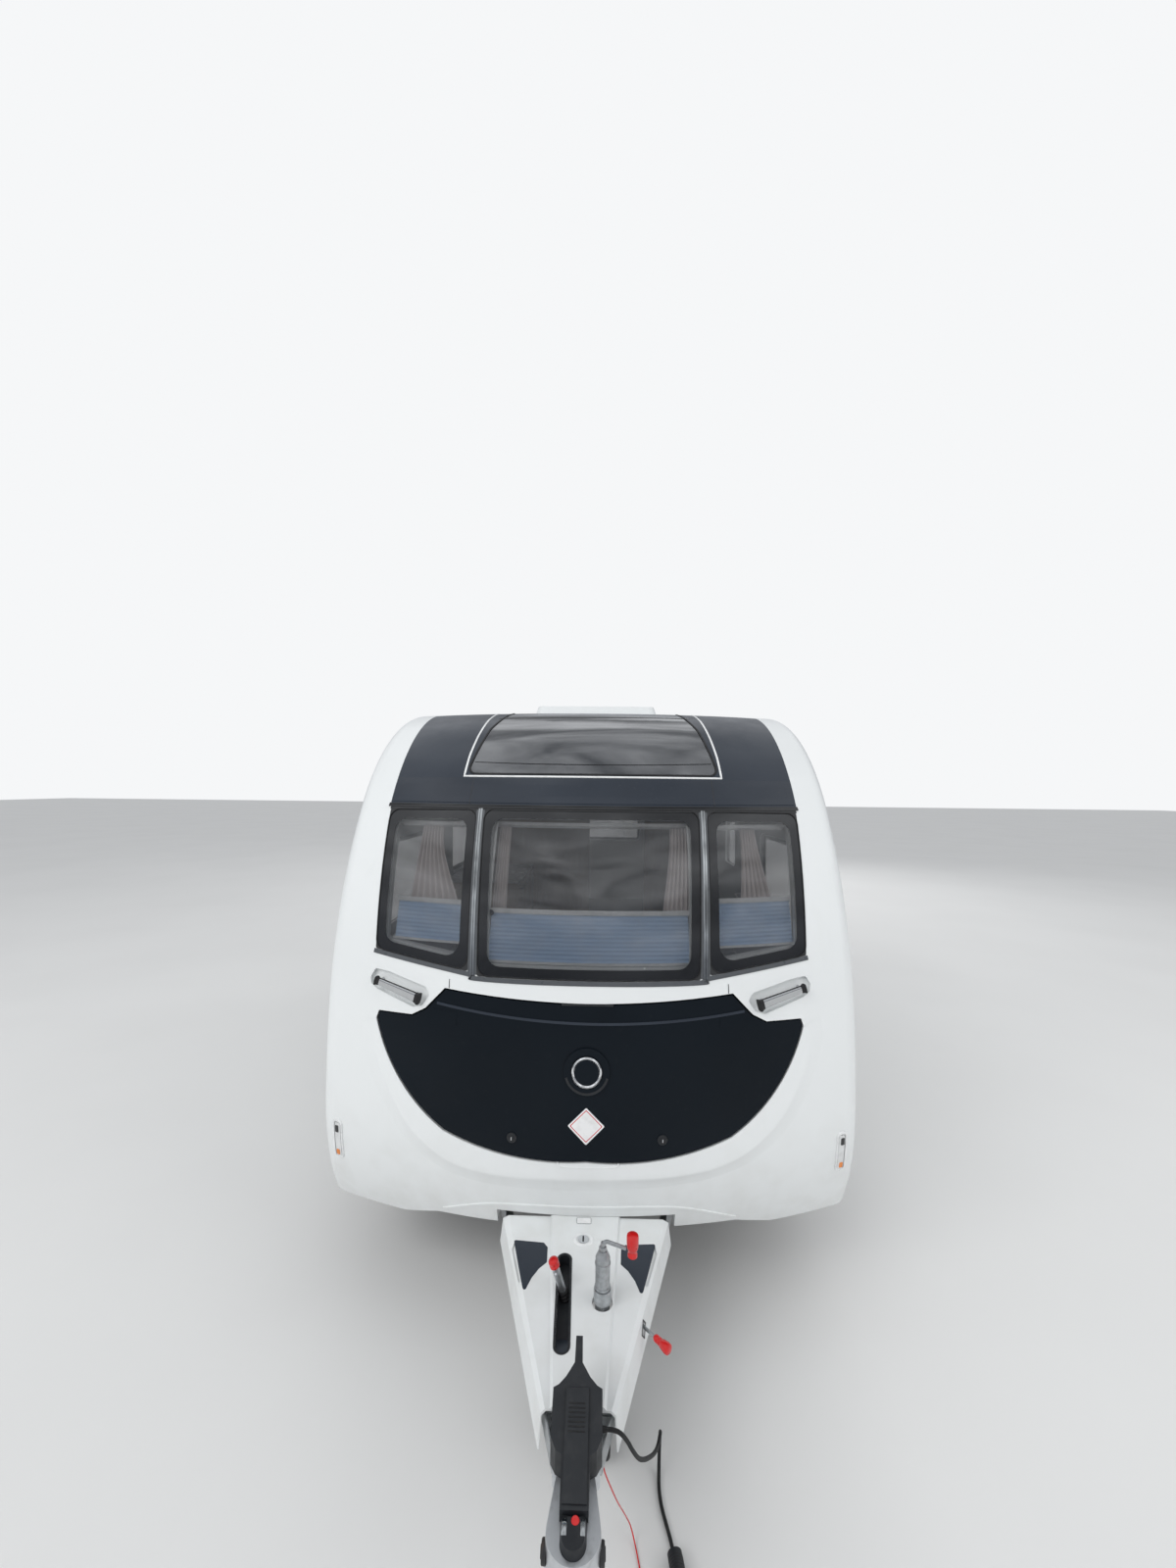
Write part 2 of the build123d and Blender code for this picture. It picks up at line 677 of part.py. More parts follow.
def hinged_door(name, side, y, z, w, h, corner_r, edge):
    """A flush door in a side wall, with its leaf, and the fixed barrel and foot."""
    axis_out = HINGE_OUT
    start = HALF - WALL
    with BuildPart() as door:
        with BuildSketch(Plane.YZ.offset(start if side > 0 else -HALF)):
            with Locations((y + w / 2, z + h / 2)):
                RectangleRounded(w, h, corner_r)
        extrude(amount=WALL)
        if edge == "front":
            spots = [(y - 2, z + h * 0.15), (y - 2, z + h * 0.85)]
        else:
            spots = [(y + w * 0.2, z - 2), (y + w * 0.8, z - 2)]
        for spot in spots:
            plane_x = HALF if side > 0 else -HALF - axis_out
            with BuildSketch(Plane.YZ.offset(plane_x)):
                if edge == "front":
                    with Locations((spot[0] + 25, spot[1])):
                        Rectangle(50, 60)
                else:
                    with Locations((spot[0], spot[1] + 20)):
                        Rectangle(60, 40)
            extrude(amount=axis_out)
        for spot in spots:
            if edge == "front":
                foot = (side * (HALF + axis_out), spot[0], spot[1] - KNUCKLE_HALF - 1)
                knuckle = Plane(origin=foot, z_dir=(0, 0, 1))
            else:
                foot = (side * (HALF + axis_out), spot[0] - KNUCKLE_HALF - 1, spot[1])
                knuckle = Plane(origin=foot, z_dir=(0, 1, 0))
            with BuildSketch(knuckle):
                Circle(HINGE_R + SEAM)
            extrude(amount=2 * KNUCKLE_HALF + 2, mode=Mode.SUBTRACT)
    with BuildPart() as barrels:
        for spot in spots:
            if edge == "front":
                foot = (side * (HALF + axis_out), spot[0], spot[1] - KNUCKLE_HALF)
                knuckle = Plane(origin=foot, z_dir=(0, 0, 1))
            else:
                foot = (side * (HALF + axis_out), spot[0] - KNUCKLE_HALF, spot[1])
                knuckle = Plane(origin=foot, z_dir=(0, 1, 0))
            with BuildSketch(knuckle):
                Circle(HINGE_R)
            extrude(amount=2 * KNUCKLE_HALF)
            plane_x = HALF if side > 0 else -HALF - axis_out
            with BuildSketch(Plane.YZ.offset(plane_x)):
                if edge == "front":
                    with Locations((spot[0] - 16, spot[1])):
                        Rectangle(24, 60)
                else:
                    with Locations((spot[0], spot[1] - 16)):
                        Rectangle(60, 24)
            extrude(amount=axis_out)
    keep(name, door.part)
    return barrels.part


door_mid_y = DOOR_Y + DOOR_W / 2
door_barrels = hinged_door("entrance_door", 1, DOOR_Y, DOOR_Z, DOOR_W, DOOR_H, DOOR_CORNER_R, "front")
with BuildPart() as glazed_door:
    add(nodes["entrance_door"])
    with BuildSketch(Plane.YZ.offset(HALF - 2 * WALL)):
        with Locations((door_mid_y, DOOR_WINDOW_Z + DOOR_WINDOW_H / 2)):
            RectangleRounded(DOOR_WINDOW_W, DOOR_WINDOW_H, 40)
    extrude(amount=3 * WALL, mode=Mode.SUBTRACT)
keep("entrance_door", glazed_door.part)
with BuildPart() as door_window:
    with BuildSketch(Plane.YZ.offset(HALF - SIDE_PANE_T)):
        with Locations((door_mid_y, DOOR_WINDOW_Z + DOOR_WINDOW_H / 2)):
            RectangleRounded(DOOR_WINDOW_W - 2 * SEAM, DOOR_WINDOW_H - 2 * SEAM, 40)
    extrude(amount=SIDE_PANE_T)
keep("door_window", door_window.part)
for name, side, y, z, w, h in small_doors:
    door_barrels += hinged_door(name, side, y, z, w, h, 20, "bottom")
keep("door_hinges", door_barrels + lid_hinge.part)

# Louvred fridge vents on the left wall, and a trim round each wheel arch
with BuildPart() as side_trims:
    for z in VENT_ZS:
        with BuildSketch(Plane.YZ.offset(-HALF - SEAM - TRIM_OUT)):
            with Locations((VENT_Y, z)):
                RectangleRounded(VENT_W, VENT_H, 14)
                with GridLocations(0, VENT_PITCH, 1, VENT_SLOTS):
                    SlotOverall(VENT_W - 60, 0.6 * VENT_PITCH, mode=Mode.SUBTRACT)
        extrude(amount=TRIM_OUT)
    for start in (HALF + SEAM, -HALF - SEAM - TRIM_OUT):
        with BuildSketch(Plane.YZ.offset(start)):
            with Locations((AXLE_Y, TYRE_R)):
                Circle(ARCH_R + ARCH_TRIM_W)
                Circle(ARCH_R, mode=Mode.SUBTRACT)
            with Locations((AXLE_Y, SKIRT_Z - ARCH_R)):
                Rectangle(3 * ARCH_R, 2 * ARCH_R, mode=Mode.SUBTRACT)
        extrude(amount=TRIM_OUT)
keep("side_trims", side_trims.part)

# Rooflights: a fixed frame and a hinged dome lid each
with BuildPart() as rooflight_frames:
    for name, y, w, d in rooflights:
        with BuildSketch(Plane.XY.offset(HEIGHT)):
            with Locations((0, y)):
                RectangleRounded(w + 130, d + 110, 70)
                RectangleRounded(w, d, 40, mode=Mode.SUBTRACT)
        extrude(amount=38, taper=12)
keep("rooflight_frames", rooflight_frames.part)

for name, y, w, d in rooflights:
    with BuildPart() as dome:
        with BuildSketch(Plane.XY.offset(HEIGHT + 38 + SEAM)):
            with Locations((0, y)):
                RectangleRounded(w + 90, d + 70, 60)
        extrude(amount=52, taper=18)
        with BuildSketch(Plane.XY.offset(HEIGHT + 38 + SEAM)):
            with Locations((0, y)):
                RectangleRounded(w + 70, d + 50, 50)
        extrude(amount=46, taper=18, mode=Mode.SUBTRACT)
    keep(name + "_lid", dome.part)

# Interior
INNER_HALF = HALF - WALL - 2
FLOOR_TOP = FLOOR_Z + FLOOR_T
BENCH_W = 630
BENCH_H = 330
BENCH_FRONT_Y = LOCKER_BACK_Y + 10
BENCH_L = 1300
CHEST_DEPTH = 400
CHEST_H = 480
FURNITURE_GAP = 5
KITCHEN_D = 540
KITCHEN_L = 900
KITCHEN_Y = -150
KITCHEN_H = 880
BENCH_X = 1060 - BENCH_W / 2
BOARD_T = 15
SEAT_T = 130
BACKREST_T = 120
BACKREST_H = 400
SEAT_TOP = FLOOR_TOP + BENCH_H + BOARD_T + SEAM + SEAT_T
bench_mid_y = BENCH_FRONT_Y + BENCH_L / 2

with BuildPart() as furniture:
    for side in (-1, 1):
        with BuildSketch(Plane.XY.offset(FLOOR_TOP)):
            with Locations((side * BENCH_X, bench_mid_y)):
                Rectangle(BENCH_W, BENCH_L)
                Rectangle(BENCH_W - 2 * BOARD_T, BENCH_L - 2 * BOARD_T, mode=Mode.SUBTRACT)
        extrude(amount=BENCH_H)
        with BuildSketch(Plane.XY.offset(FLOOR_TOP + BENCH_H)):
            with Locations((side * BENCH_X, bench_mid_y)):
                Rectangle(BENCH_W, BENCH_L)
        extrude(amount=BOARD_T)
    # Chest of drawers between the benches, and the kitchen on the left
    with BuildSketch(Plane.XY.offset(FLOOR_TOP)):
        with Locations((0, BENCH_FRONT_Y + CHEST_DEPTH / 2)):
            Rectangle(2 * (BENCH_X - BENCH_W / 2 - FURNITURE_GAP), CHEST_DEPTH)
    extrude(amount=CHEST_H)
    with BuildSketch(Plane.XY.offset(FLOOR_TOP)):
        with Locations((-INNER_HALF + KITCHEN_D / 2, KITCHEN_Y)):
            Rectangle(KITCHEN_D, KITCHEN_L)
    extrude(amount=KITCHEN_H)
keep("furniture", furniture.part)

for name, side in (("seat_cushions_left", -1), ("seat_cushions_right", 1)):
    with BuildPart() as cushions:
        with BuildSketch(Plane.XY.offset(SEAT_TOP - SEAT_T)):
            with Locations((side * BENCH_X, bench_mid_y)):
                RectangleRounded(BENCH_W - 4, BENCH_L - 4, 40)
        extrude(amount=SEAT_T)
        with BuildSketch(Plane.XY.offset(SEAT_TOP + SEAM)):
            with Locations((side * (BENCH_X + (BENCH_W - BACKREST_T) / 2 - 4), bench_mid_y)):
                RectangleRounded(BACKREST_T, BENCH_L - 4, 40)
        extrude(amount=BACKREST_H)
    keep(name, cushions.part)

WASHROOM_Y = 1290
with BuildPart() as washroom:
    with BuildSketch(Plane.XZ.offset(-WASHROOM_Y)):
        with Locations((0, (FLOOR_TOP + WALL_TOP) / 2)):
            Rectangle(2 * (HALF - WALL - SEAM), WALL_TOP - FLOOR_TOP - 2 * SEAM)
        with Locations((0, (FLOOR_TOP + HEIGHT - WALL) / 2)):
            Rectangle(2 * (HALF - EDGE_R), HEIGHT - WALL - FLOOR_TOP - 2 * SEAM)
        with Locations((200, FLOOR_TOP + 960)):
            Rectangle(560, 1860, mode=Mode.SUBTRACT)
    extrude(amount=25)
keep("washroom_wall", washroom.part)


def rail_outline(inner, outer):
    """Plan outline of a band along a chassis member, from two offsets across it."""
    line = [(RAIL_X, RAIL_BACK_Y), (RAIL_X, RAIL_BEND_Y), (FRAME_FRONT_X, FRAME_FRONT_Y)]
    return [(x + inner, y) for x, y in line] + [(x + outer, y) for x, y in reversed(line)]


RAIL_Z = FLOOR_Z - RAIL_H
with BuildPart() as chassis:
    for z, height, reach in (
        (RAIL_Z, RAIL_T, RAIL_FLANGE),
        (RAIL_Z, RAIL_H - 1, RAIL_T),
        (FLOOR_Z - RAIL_T - SEAM, RAIL_T, RAIL_FLANGE),
    ):
        with BuildSketch(Plane.XY.offset(z)):
            with BuildLine():
                Polyline(*rail_outline(0, -reach), close=True)
            make_face()
            mirror(about=Plane.YZ)
        extrude(amount=height)
    # In front of the body the members are lower, under the cover
    with BuildSketch(Plane.YZ.offset(-RAIL_X - 10)):
        with BuildLine():
            Polyline(
                (FRAME_STEP_Y + FRAME_STEP_RUN, 600),
                (FRAME_STEP_Y, FRAME_STEP_Z),
                (FRAME_FRONT_Y - 60, FRAME_STEP_Z),
                (FRAME_FRONT_Y - 60, 600),
                close=True,
            )
        make_face()
    extrude(amount=2 * RAIL_X + 20, mode=Mode.SUBTRACT)
    lean = (RAIL_X - FRAME_FRONT_X) / (RAIL_BEND_Y - FRAME_FRONT_Y)
    with BuildSketch(Plane.XY.offset(FRAME_STEP_Z - RAIL_T)):
        with BuildLine():
            near_x = FRAME_FRONT_X + lean * (PLATE_FRONT_Y - FRAME_FRONT_Y)
            far_x = FRAME_FRONT_X + lean * (PLATE_BACK_Y - FRAME_FRONT_Y)
            Polyline(
                (near_x, PLATE_FRONT_Y),
                (far_x, PLATE_BACK_Y),
                (far_x - PLATE_W, PLATE_BACK_Y),
                (near_x - PLATE_W, PLATE_FRONT_Y),
                close=True,
            )
        make_face()
        mirror(about=Plane.YZ)
    extrude(amount=RAIL_T)
    # Cross members
    for y in (RAIL_BEND_Y + 30, AXLE_Y - 500, AXLE_Y + 600, RAIL_BACK_Y - 40):
        with BuildSketch(Plane.XZ.offset(-y)):
            with Locations((0, FLOOR_Z - 60)):
                Rectangle(2 * (RAIL_X - RAIL_T), 70)
        extrude(amount=4)
    # Weight-saving holes in the members, and the jack bracket's bolt holes
    with BuildSketch(Plane.YZ.offset(-RAIL_X - 10)):
        with Locations(*[(-1300 + 420 * i, FLOOR_Z - RAIL_H / 2) for i in range(4)]):
            Circle(45)
        jack_holes = [(JACK_HOLE_Y + end * JACK_HOLE_SPACING / 2, RAIL_Z + RAIL_H / 2) for end in (-1, 1)]
        with Locations(*jack_holes):
            Circle(JACK_HOLE_R)
    extrude(amount=2 * RAIL_X + 20, mode=Mode.SUBTRACT)
keep("chassis", chassis.part)

# Axle: tube, brackets, swing arms and spindles
axle_tube_y = AXLE_Y - AXLE_TUBE_BACK
with BuildPart() as axle:
    with BuildSketch(Plane.YZ.offset(-800)):
        with Locations((axle_tube_y, AXLE_TUBE_Z)):
            RegularPolygon(AXLE_TUBE_FLAT, 6, major_radius=False)
    extrude(amount=1600)
    with BuildSketch(Plane.XY.offset(AXLE_TUBE_Z)):
        with Locations((RAIL_X - 25, axle_tube_y), (-RAIL_X + 25, axle_tube_y)):
            Rectangle(60, 140)
    extrude(amount=RAIL_Z - AXLE_TUBE_Z)
    for side in (-1, 1):
        with BuildSketch(Plane.YZ.offset(800 if side > 0 else -850)) as arm:
            with Locations((axle_tube_y, AXLE_TUBE_Z)):
                Circle(58)
            with Locations((AXLE_Y, TYRE_R)):
                Circle(42)
            make_hull()
        extrude(amount=50)
        with BuildSketch(Plane.YZ.offset(850 if side > 0 else -896)):
            with Locations((AXLE_Y, TYRE_R)):
                Circle(44)
        extrude(amount=46)
        with BuildSketch(Plane.YZ.offset(896 if side > 0 else -900)):
            with Locations((AXLE_Y, TYRE_R)):
                Circle(DRUM_R + 4)
        extrude(amount=4)
        with BuildSketch(Plane.YZ.offset(900 if side > 0 else -HUB_FACE_X + 4)):
            with Locations((AXLE_Y, TYRE_R)):
                Circle(SPINDLE_R)
        extrude(amount=HUB_FACE_X - 4 - 900)
keep("axle", axle.part)

# Road wheels
for name, side in (("left", -1), ("right", 1)):
    def side_plane(low_x, high_x):
        return Plane.YZ.offset(low_x if side > 0 else -high_x)

    with BuildPart() as drum:
        with BuildSketch(side_plane(DRUM_IN_X, HUB_FACE_X)):
            with Locations((AXLE_Y, TYRE_R)):
                Circle(DRUM_R)
        extrude(amount=HUB_FACE_X - DRUM_IN_X)
        with BuildSketch(side_plane(900, HUB_FACE_X - 12)):
            with Locations((AXLE_Y, TYRE_R)):
                Circle(DRUM_R - 10)
                Circle(HUB_R, mode=Mode.SUBTRACT)
        extrude(amount=HUB_FACE_X - 912, mode=Mode.SUBTRACT)
        with BuildSketch(side_plane(900, HUB_FACE_X + 12)):
            with Locations((AXLE_Y, TYRE_R)):
                Circle(SPINDLE_R + SEAM)
        extrude(amount=HUB_FACE_X + 12 - 900, mode=Mode.SUBTRACT)
    keep("brake_drum_" + name, drum.part)

    outer_x = TYRE_OUT_X
    mid_x = outer_x - TYRE_W / 2
    with BuildPart() as tyre:
        with BuildSketch(Plane.XY.offset(TYRE_R)) as section:
            with BuildLine():
                w = TYRE_W / 2
                m = side * mid_x
                bead = RIM_W / 2 - 15
                foot = AXLE_Y + RIM_R
                Polyline(
                    (m - bead - 6, foot + 16),
                    (m - bead, foot),
                    (m + bead, foot),
                    (m + bead + 6, foot + 16),
                )
                tread = AXLE_Y + TYRE_R
                ThreePointArc((m + bead + 6, foot + 16), (m + w, foot + 64), (m + w - 20, tread - 12))
                ThreePointArc((m + w - 20, tread - 12), (m, tread), (m - w + 20, tread - 12))
                ThreePointArc((m - w + 20, tread - 12), (m - w, foot + 64), (m - bead - 6, foot + 16))
            make_face()
        revolve(axis=Axis((0, AXLE_Y, TYRE_R), (1, 0, 0)))
    keep("tyre_" + name, tyre.part)

    with BuildPart() as rim:
        with BuildSketch(Plane.XY.offset(TYRE_R)):
            with BuildLine():
                h = RIM_W / 2
                r = AXLE_Y + RIM_R - SEAM
                Polyline(
                    (m - h, r + 12),
                    (m - h + 7, r + 12),
                    (m - h + 7, r),
                    (m + h - 7, r),
                    (m + h - 7, r + 12),
                    (m + h, r + 12),
                    (m + h, r - RIM_WALL),
                    (m - h, r - RIM_WALL),
                    close=True,
                )
            make_face()
        revolve(axis=Axis((0, AXLE_Y, TYRE_R), (1, 0, 0)))
        with BuildSketch(side_plane(HUB_FACE_X + SEAM, HUB_FACE_X + 28)):
            with Locations((AXLE_Y, TYRE_R)):
                Circle(RIM_R - RIM_WALL + 2)
                with PolarLocations(118, 5, start_angle=18):
                    Ellipse(34, 36, mode=Mode.SUBTRACT)
        extrude(amount=28 - SEAM)
    keep("rim_" + name, rim.part)


def ruled_form(sections, inset, reach):
    """A closed form ruled between a back and a front half section, moved in and lengthened."""
    with BuildPart() as form:
        for y, half in zip((COVER_BACK_Y + reach, COVER_FRONT_Y - reach), sections):
            right = [(half[0][0] - inset, half[0][1] - 2 * inset)]
            right += [(x - inset, z - inset) for x, z in half[1:]]
            with BuildSketch(Plane.XZ.offset(-y)):
                with BuildLine():
                    Polyline(*right, *mirrored(right), close=True)
                make_face()
        loft(ruled=True)
    return form.part


# Cover over the A-frame, with its raised spine and the two insets beside it
with BuildPart() as frame_cover:
    add(ruled_form((COVER_BACK, COVER_FRONT), 0, 0))
    add(ruled_form((SPINE_BACK, SPINE_FRONT), 0, -SEAM))
    add(ruled_form((COVER_BACK, COVER_FRONT), COVER_T, 10), mode=Mode.SUBTRACT)
    with BuildPart(mode=Mode.PRIVATE) as insets:
        with BuildSketch(Plane.XY.offset(400)) as inset_face:
            with BuildLine():
                Polyline(*mirrored(COVER_INSET), close=True)
            make_face()
            fillet(inset_face.vertices(), 12)
        extrude(amount=200)
        add(ruled_form((COVER_BACK, COVER_FRONT), COVER_INSET_DEPTH, 10), mode=Mode.SUBTRACT)
    add(insets.part, mode=Mode.SUBTRACT)
    split(bisect_by=Plane.YZ, keep=Keep.BOTTOM)
    mirror(about=Plane.YZ)
    # Slot for the handbrake lever, hole for the jockey tube, and the clamp handle's hole
    with BuildSketch(Plane.XY.offset(420)):
        with Locations(LEVER_SLOT[:2]):
            SlotOverall(LEVER_SLOT[2], LEVER_SLOT[3], rotation=LEVER_SLOT[4])
        with Locations((JOCKEY_X, JOCKEY_Y)):
            Circle(JOCKEY_TUBE_R + 10)
    extrude(amount=150, mode=Mode.SUBTRACT)
    hole_y, hole_z, hole_half_w, hole_half_h = CLAMP_HOLE
    with BuildSketch(Plane.YZ.offset(COVER_FRONT[0][0])):
        with BuildLine():
            Polyline(
                (hole_y - hole_half_w, hole_z),
                (hole_y, hole_z + hole_half_h),
                (hole_y + hole_half_w, hole_z),
                (hole_y, hole_z - hole_half_h),
                close=True,
            )
        make_face()
    extrude(amount=COVER_BACK[0][0], mode=Mode.SUBTRACT)
keep("frame_cover", frame_cover.part)

# Coupling: drawtube housing, head and its handle
with BuildPart() as coupling:
    with BuildSketch(Plane.XZ.offset(-DRAWTUBE_Y)):
        with Locations((0, DRAWTUBE_Z)):
            Circle(DRAWTUBE_R)
    extrude(amount=-DRAWTUBE_L)
    # Lug for the handbrake lever's pivot
    with BuildSketch(Plane.XY.offset(LUG_Z)):
        with Locations((LUG_X, LEVER_FOOT.Y)):
            Rectangle(LUG_W, LUG_L)
    extrude(amount=LUG_W)
    with BuildSketch(Plane.XZ.offset(-COVER_FRONT_Y + SEAM)):
        with Locations((0, HOUSING_Z)):
            RectangleRounded(2 * (FRAME_FRONT_X - RAIL_T - SEAM), HOUSING_H, HOUSING_CORNER_R)
    extrude(amount=HOUSING_L)
    with BuildSketch(Plane.XY.offset(HEAD_LOW)):
        with BuildLine():
            right = [(HEAD_HALF, HEAD_WIDEST_Y), HEAD_MIDDLE, HEAD_BACK]
            left = mirrored(right)
            Polyline(*right, *left)
            ThreePointArc(left[-1], (0, HEAD_FRONT_Y), right[0])
        make_face()
    extrude(amount=HEAD_TOP - HEAD_LOW, taper=4)
    with BuildSketch(Plane.XY.offset(BALL_Z - 40)):
        with Locations((0, BALL_Y)):
            Circle(BALL_R)
    extrude(amount=50, mode=Mode.SUBTRACT)
keep("coupling_head", coupling.part)

# Stabiliser handle: side profile and plan outline together, a ridge on top, and the soft nose
with BuildPart() as coupling_handle:
    with BuildSketch(Plane.YZ.offset(-HANDLE_HALF)):
        with BuildLine():
            Polyline(*HANDLE_SIDE, close=True)
        make_face()
    extrude(amount=2 * HANDLE_HALF)
    with BuildSketch(Plane.XY.offset(HEAD_TOP - 10)):
        with BuildLine():
            Polyline(*HANDLE_PLAN, *mirrored(HANDLE_PLAN), close=True)
        make_face()
    extrude(amount=200, mode=Mode.INTERSECT)
    with BuildSketch(Plane.YZ.offset(-RIDGE_HALF)):
        with BuildLine():
            Polyline(*RIDGE_SIDE, close=True)
        make_face()
    extrude(amount=2 * RIDGE_HALF)
    with BuildSketch(Plane.XY.offset(HEAD_TOP + SEAM)):
        with BuildLine():
            right = [(NOSE_HALF, NOSE_Y), (NOSE_HALF, NOSE_BACK_Y)]
            left = mirrored(right)
            Polyline(*right, *left)
            ThreePointArc(left[-1], (0, NOSE_FRONT_Y), right[0])
        make_face()
    extrude(amount=NOSE_H, taper=12)
keep("coupling_handle", coupling_handle.part)

# Handbrake lever
with BuildPart() as handbrake:
    with BuildSketch(Plane(origin=LEVER_FOOT, z_dir=LEVER_WAY)):
        RectangleRounded(24, 18, 7)
    extrude(amount=LEVER_L)
keep("handbrake_lever", handbrake.part)

# Jockey wheel
with BuildPart() as jockey_clamp:
    with BuildSketch(Plane.XY.offset(JOCKEY_TUBE_LOW)):
        with Locations((JOCKEY_X, JOCKEY_Y)):
            Circle(JOCKEY_TUBE_R)
            Circle(JOCKEY_BORE_R, mode=Mode.SUBTRACT)
    extrude(amount=JOCKEY_TUBE_TOP - JOCKEY_TUBE_LOW)
    with BuildSketch(Plane.XY.offset(JOCKEY_TUBE_TOP)):
        with Locations((JOCKEY_X, JOCKEY_Y)):
            Circle(JOCKEY_TUBE_R)
    extrude(amount=22, taper=25)
    web_x = FRAME_FRONT_X + lean * (JOCKEY_Y - 20 - FRAME_FRONT_Y) - RAIL_T - SEAM
    with BuildSketch(Plane.XY.offset(JOCKEY_TUBE_LOW)):
        with Locations((JOCKEY_X, JOCKEY_Y)):
            Circle(JOCKEY_TUBE_R + 7)
            Circle(JOCKEY_TUBE_R - 1, mode=Mode.SUBTRACT)
        with Locations(((JOCKEY_X + JOCKEY_TUBE_R + 3 + web_x) / 2, JOCKEY_Y - 6)):
            Rectangle(web_x - JOCKEY_X - JOCKEY_TUBE_R - 3, 24)
    extrude(amount=46)
    # Crank on top of the tube, and the clamp's screw through the cover's side
    crank_foot = Vector(JOCKEY_X, JOCKEY_Y, JOCKEY_TUBE_TOP + 22 + SEAM)
    with BuildLine():
        crank_path = FilletPolyline(crank_foot, crank_foot + Vector(0, 0, 32), CRANK_END, radius=14)
    with BuildSketch(Plane(origin=crank_foot, z_dir=(0, 0, 1))):
        Circle(CRANK_ROD_R)
    sweep()
    with BuildSketch(Plane(origin=CLAMP_FOOT, z_dir=CLAMP_WAY)):
        Circle(CLAMP_ROD_R)
    extrude(amount=CLAMP_ROD_L)
keep("jockey_clamp", jockey_clamp.part)

with BuildPart() as red_grips:
    with BuildSketch(Plane(origin=CRANK_END + Vector(GRIP_OUT, 0, -GRIP_DROP), z_dir=(0, 0, 1))):
        Circle(GRIP_R)
    extrude(amount=GRIP_L)
    with BuildSketch(Plane(origin=CLAMP_FOOT + CLAMP_WAY * (CLAMP_ROD_L + SEAM), z_dir=CLAMP_WAY)):
        Circle(CLAMP_GRIP_R)
    extrude(amount=CLAMP_GRIP_L, taper=-5)
    with BuildSketch(Plane(origin=LEVER_FOOT + LEVER_WAY * (LEVER_L + SEAM), z_dir=LEVER_WAY)):
        Circle(LEVER_KNOB_R)
    extrude(amount=LEVER_KNOB_L)
keep("red_grips", red_grips.part)

with BuildPart() as jockey_tube:
    with BuildSketch(Plane.XY.offset(FORK_TOP + SEAM)):
        with Locations((JOCKEY_X, JOCKEY_Y)):
            Circle(JOCKEY_INNER_R)
    extrude(amount=260)
keep("jockey_inner_tube", jockey_tube.part)

wheel_y = JOCKEY_Y + JOCKEY_TRAIL
with BuildPart() as fork:
    with BuildSketch(Plane.YZ.offset(JOCKEY_X - JOCKEY_WHEEL_W / 2 - 14)):
        with BuildLine():
            Polyline(
                (JOCKEY_Y - 26, FORK_TOP),
                (JOCKEY_Y + 40, FORK_TOP),
                (wheel_y + 22, JOCKEY_WHEEL_R),
                (wheel_y, JOCKEY_WHEEL_R - 24),
                (wheel_y - 22, JOCKEY_WHEEL_R),
                close=True,
            )
        make_face()
    extrude(amount=JOCKEY_WHEEL_W + 28)
    with BuildSketch(Plane.YZ.offset(JOCKEY_X - JOCKEY_WHEEL_W / 2 - 8)):
        with Locations((wheel_y, JOCKEY_WHEEL_R - 40)):
            Rectangle(300, 2 * (FORK_TOP - 5 - JOCKEY_WHEEL_R + 40))
    extrude(amount=JOCKEY_WHEEL_W + 16, mode=Mode.SUBTRACT)
    with BuildSketch(Plane.YZ.offset(JOCKEY_X - JOCKEY_WHEEL_W / 2 - 10)):
        with Locations((wheel_y, JOCKEY_WHEEL_R)):
            Circle(JOCKEY_AXLE_R)
    extrude(amount=JOCKEY_WHEEL_W + 20)
keep("jockey_fork", fork.part)

with BuildPart() as jockey_wheel:
    with BuildSketch(Plane.YZ.offset(JOCKEY_X - JOCKEY_WHEEL_W / 2)):
        with Locations((wheel_y, JOCKEY_WHEEL_R)):
            Circle(JOCKEY_WHEEL_R)
            Circle(JOCKEY_AXLE_R + SEAM, mode=Mode.SUBTRACT)
    extrude(amount=JOCKEY_WHEEL_W)
    fillet(jockey_wheel.edges().filter_by(GeomType.CIRCLE).group_by(SortBy.RADIUS)[-1], 14)
keep("jockey_wheel", jockey_wheel.part)

# Corner steadies: bracket, and a leg lying along the floor
for name, side, steady_y, reach in (
    ("front_left", -1, STEADY_FRONT_Y, 1),
    ("front_right", 1, STEADY_FRONT_Y, 1),
    ("rear_left", -1, STEADY_REAR_Y, -1),
    ("rear_right", 1, STEADY_REAR_Y, -1),
):
    with BuildPart() as leg:
        with BuildSketch(Plane.YZ.offset(side * STEADY_X - STEADY_W / 2)):
            with Locations((steady_y, STEADY_Z)):
                Circle(22)
            with Locations((steady_y + reach * STEADY_L, STEADY_Z - 8)):
                Circle(12)
            make_hull()
        extrude(amount=STEADY_W)
        with BuildSketch(Plane.YZ.offset(side * STEADY_X - STEADY_W / 2 - 1)):
            with Locations((steady_y, STEADY_Z)):
                Circle(STEADY_PIN_R + SEAM)
        extrude(amount=STEADY_W + 2, mode=Mode.SUBTRACT)
    keep("steady_leg_" + name, leg.part)

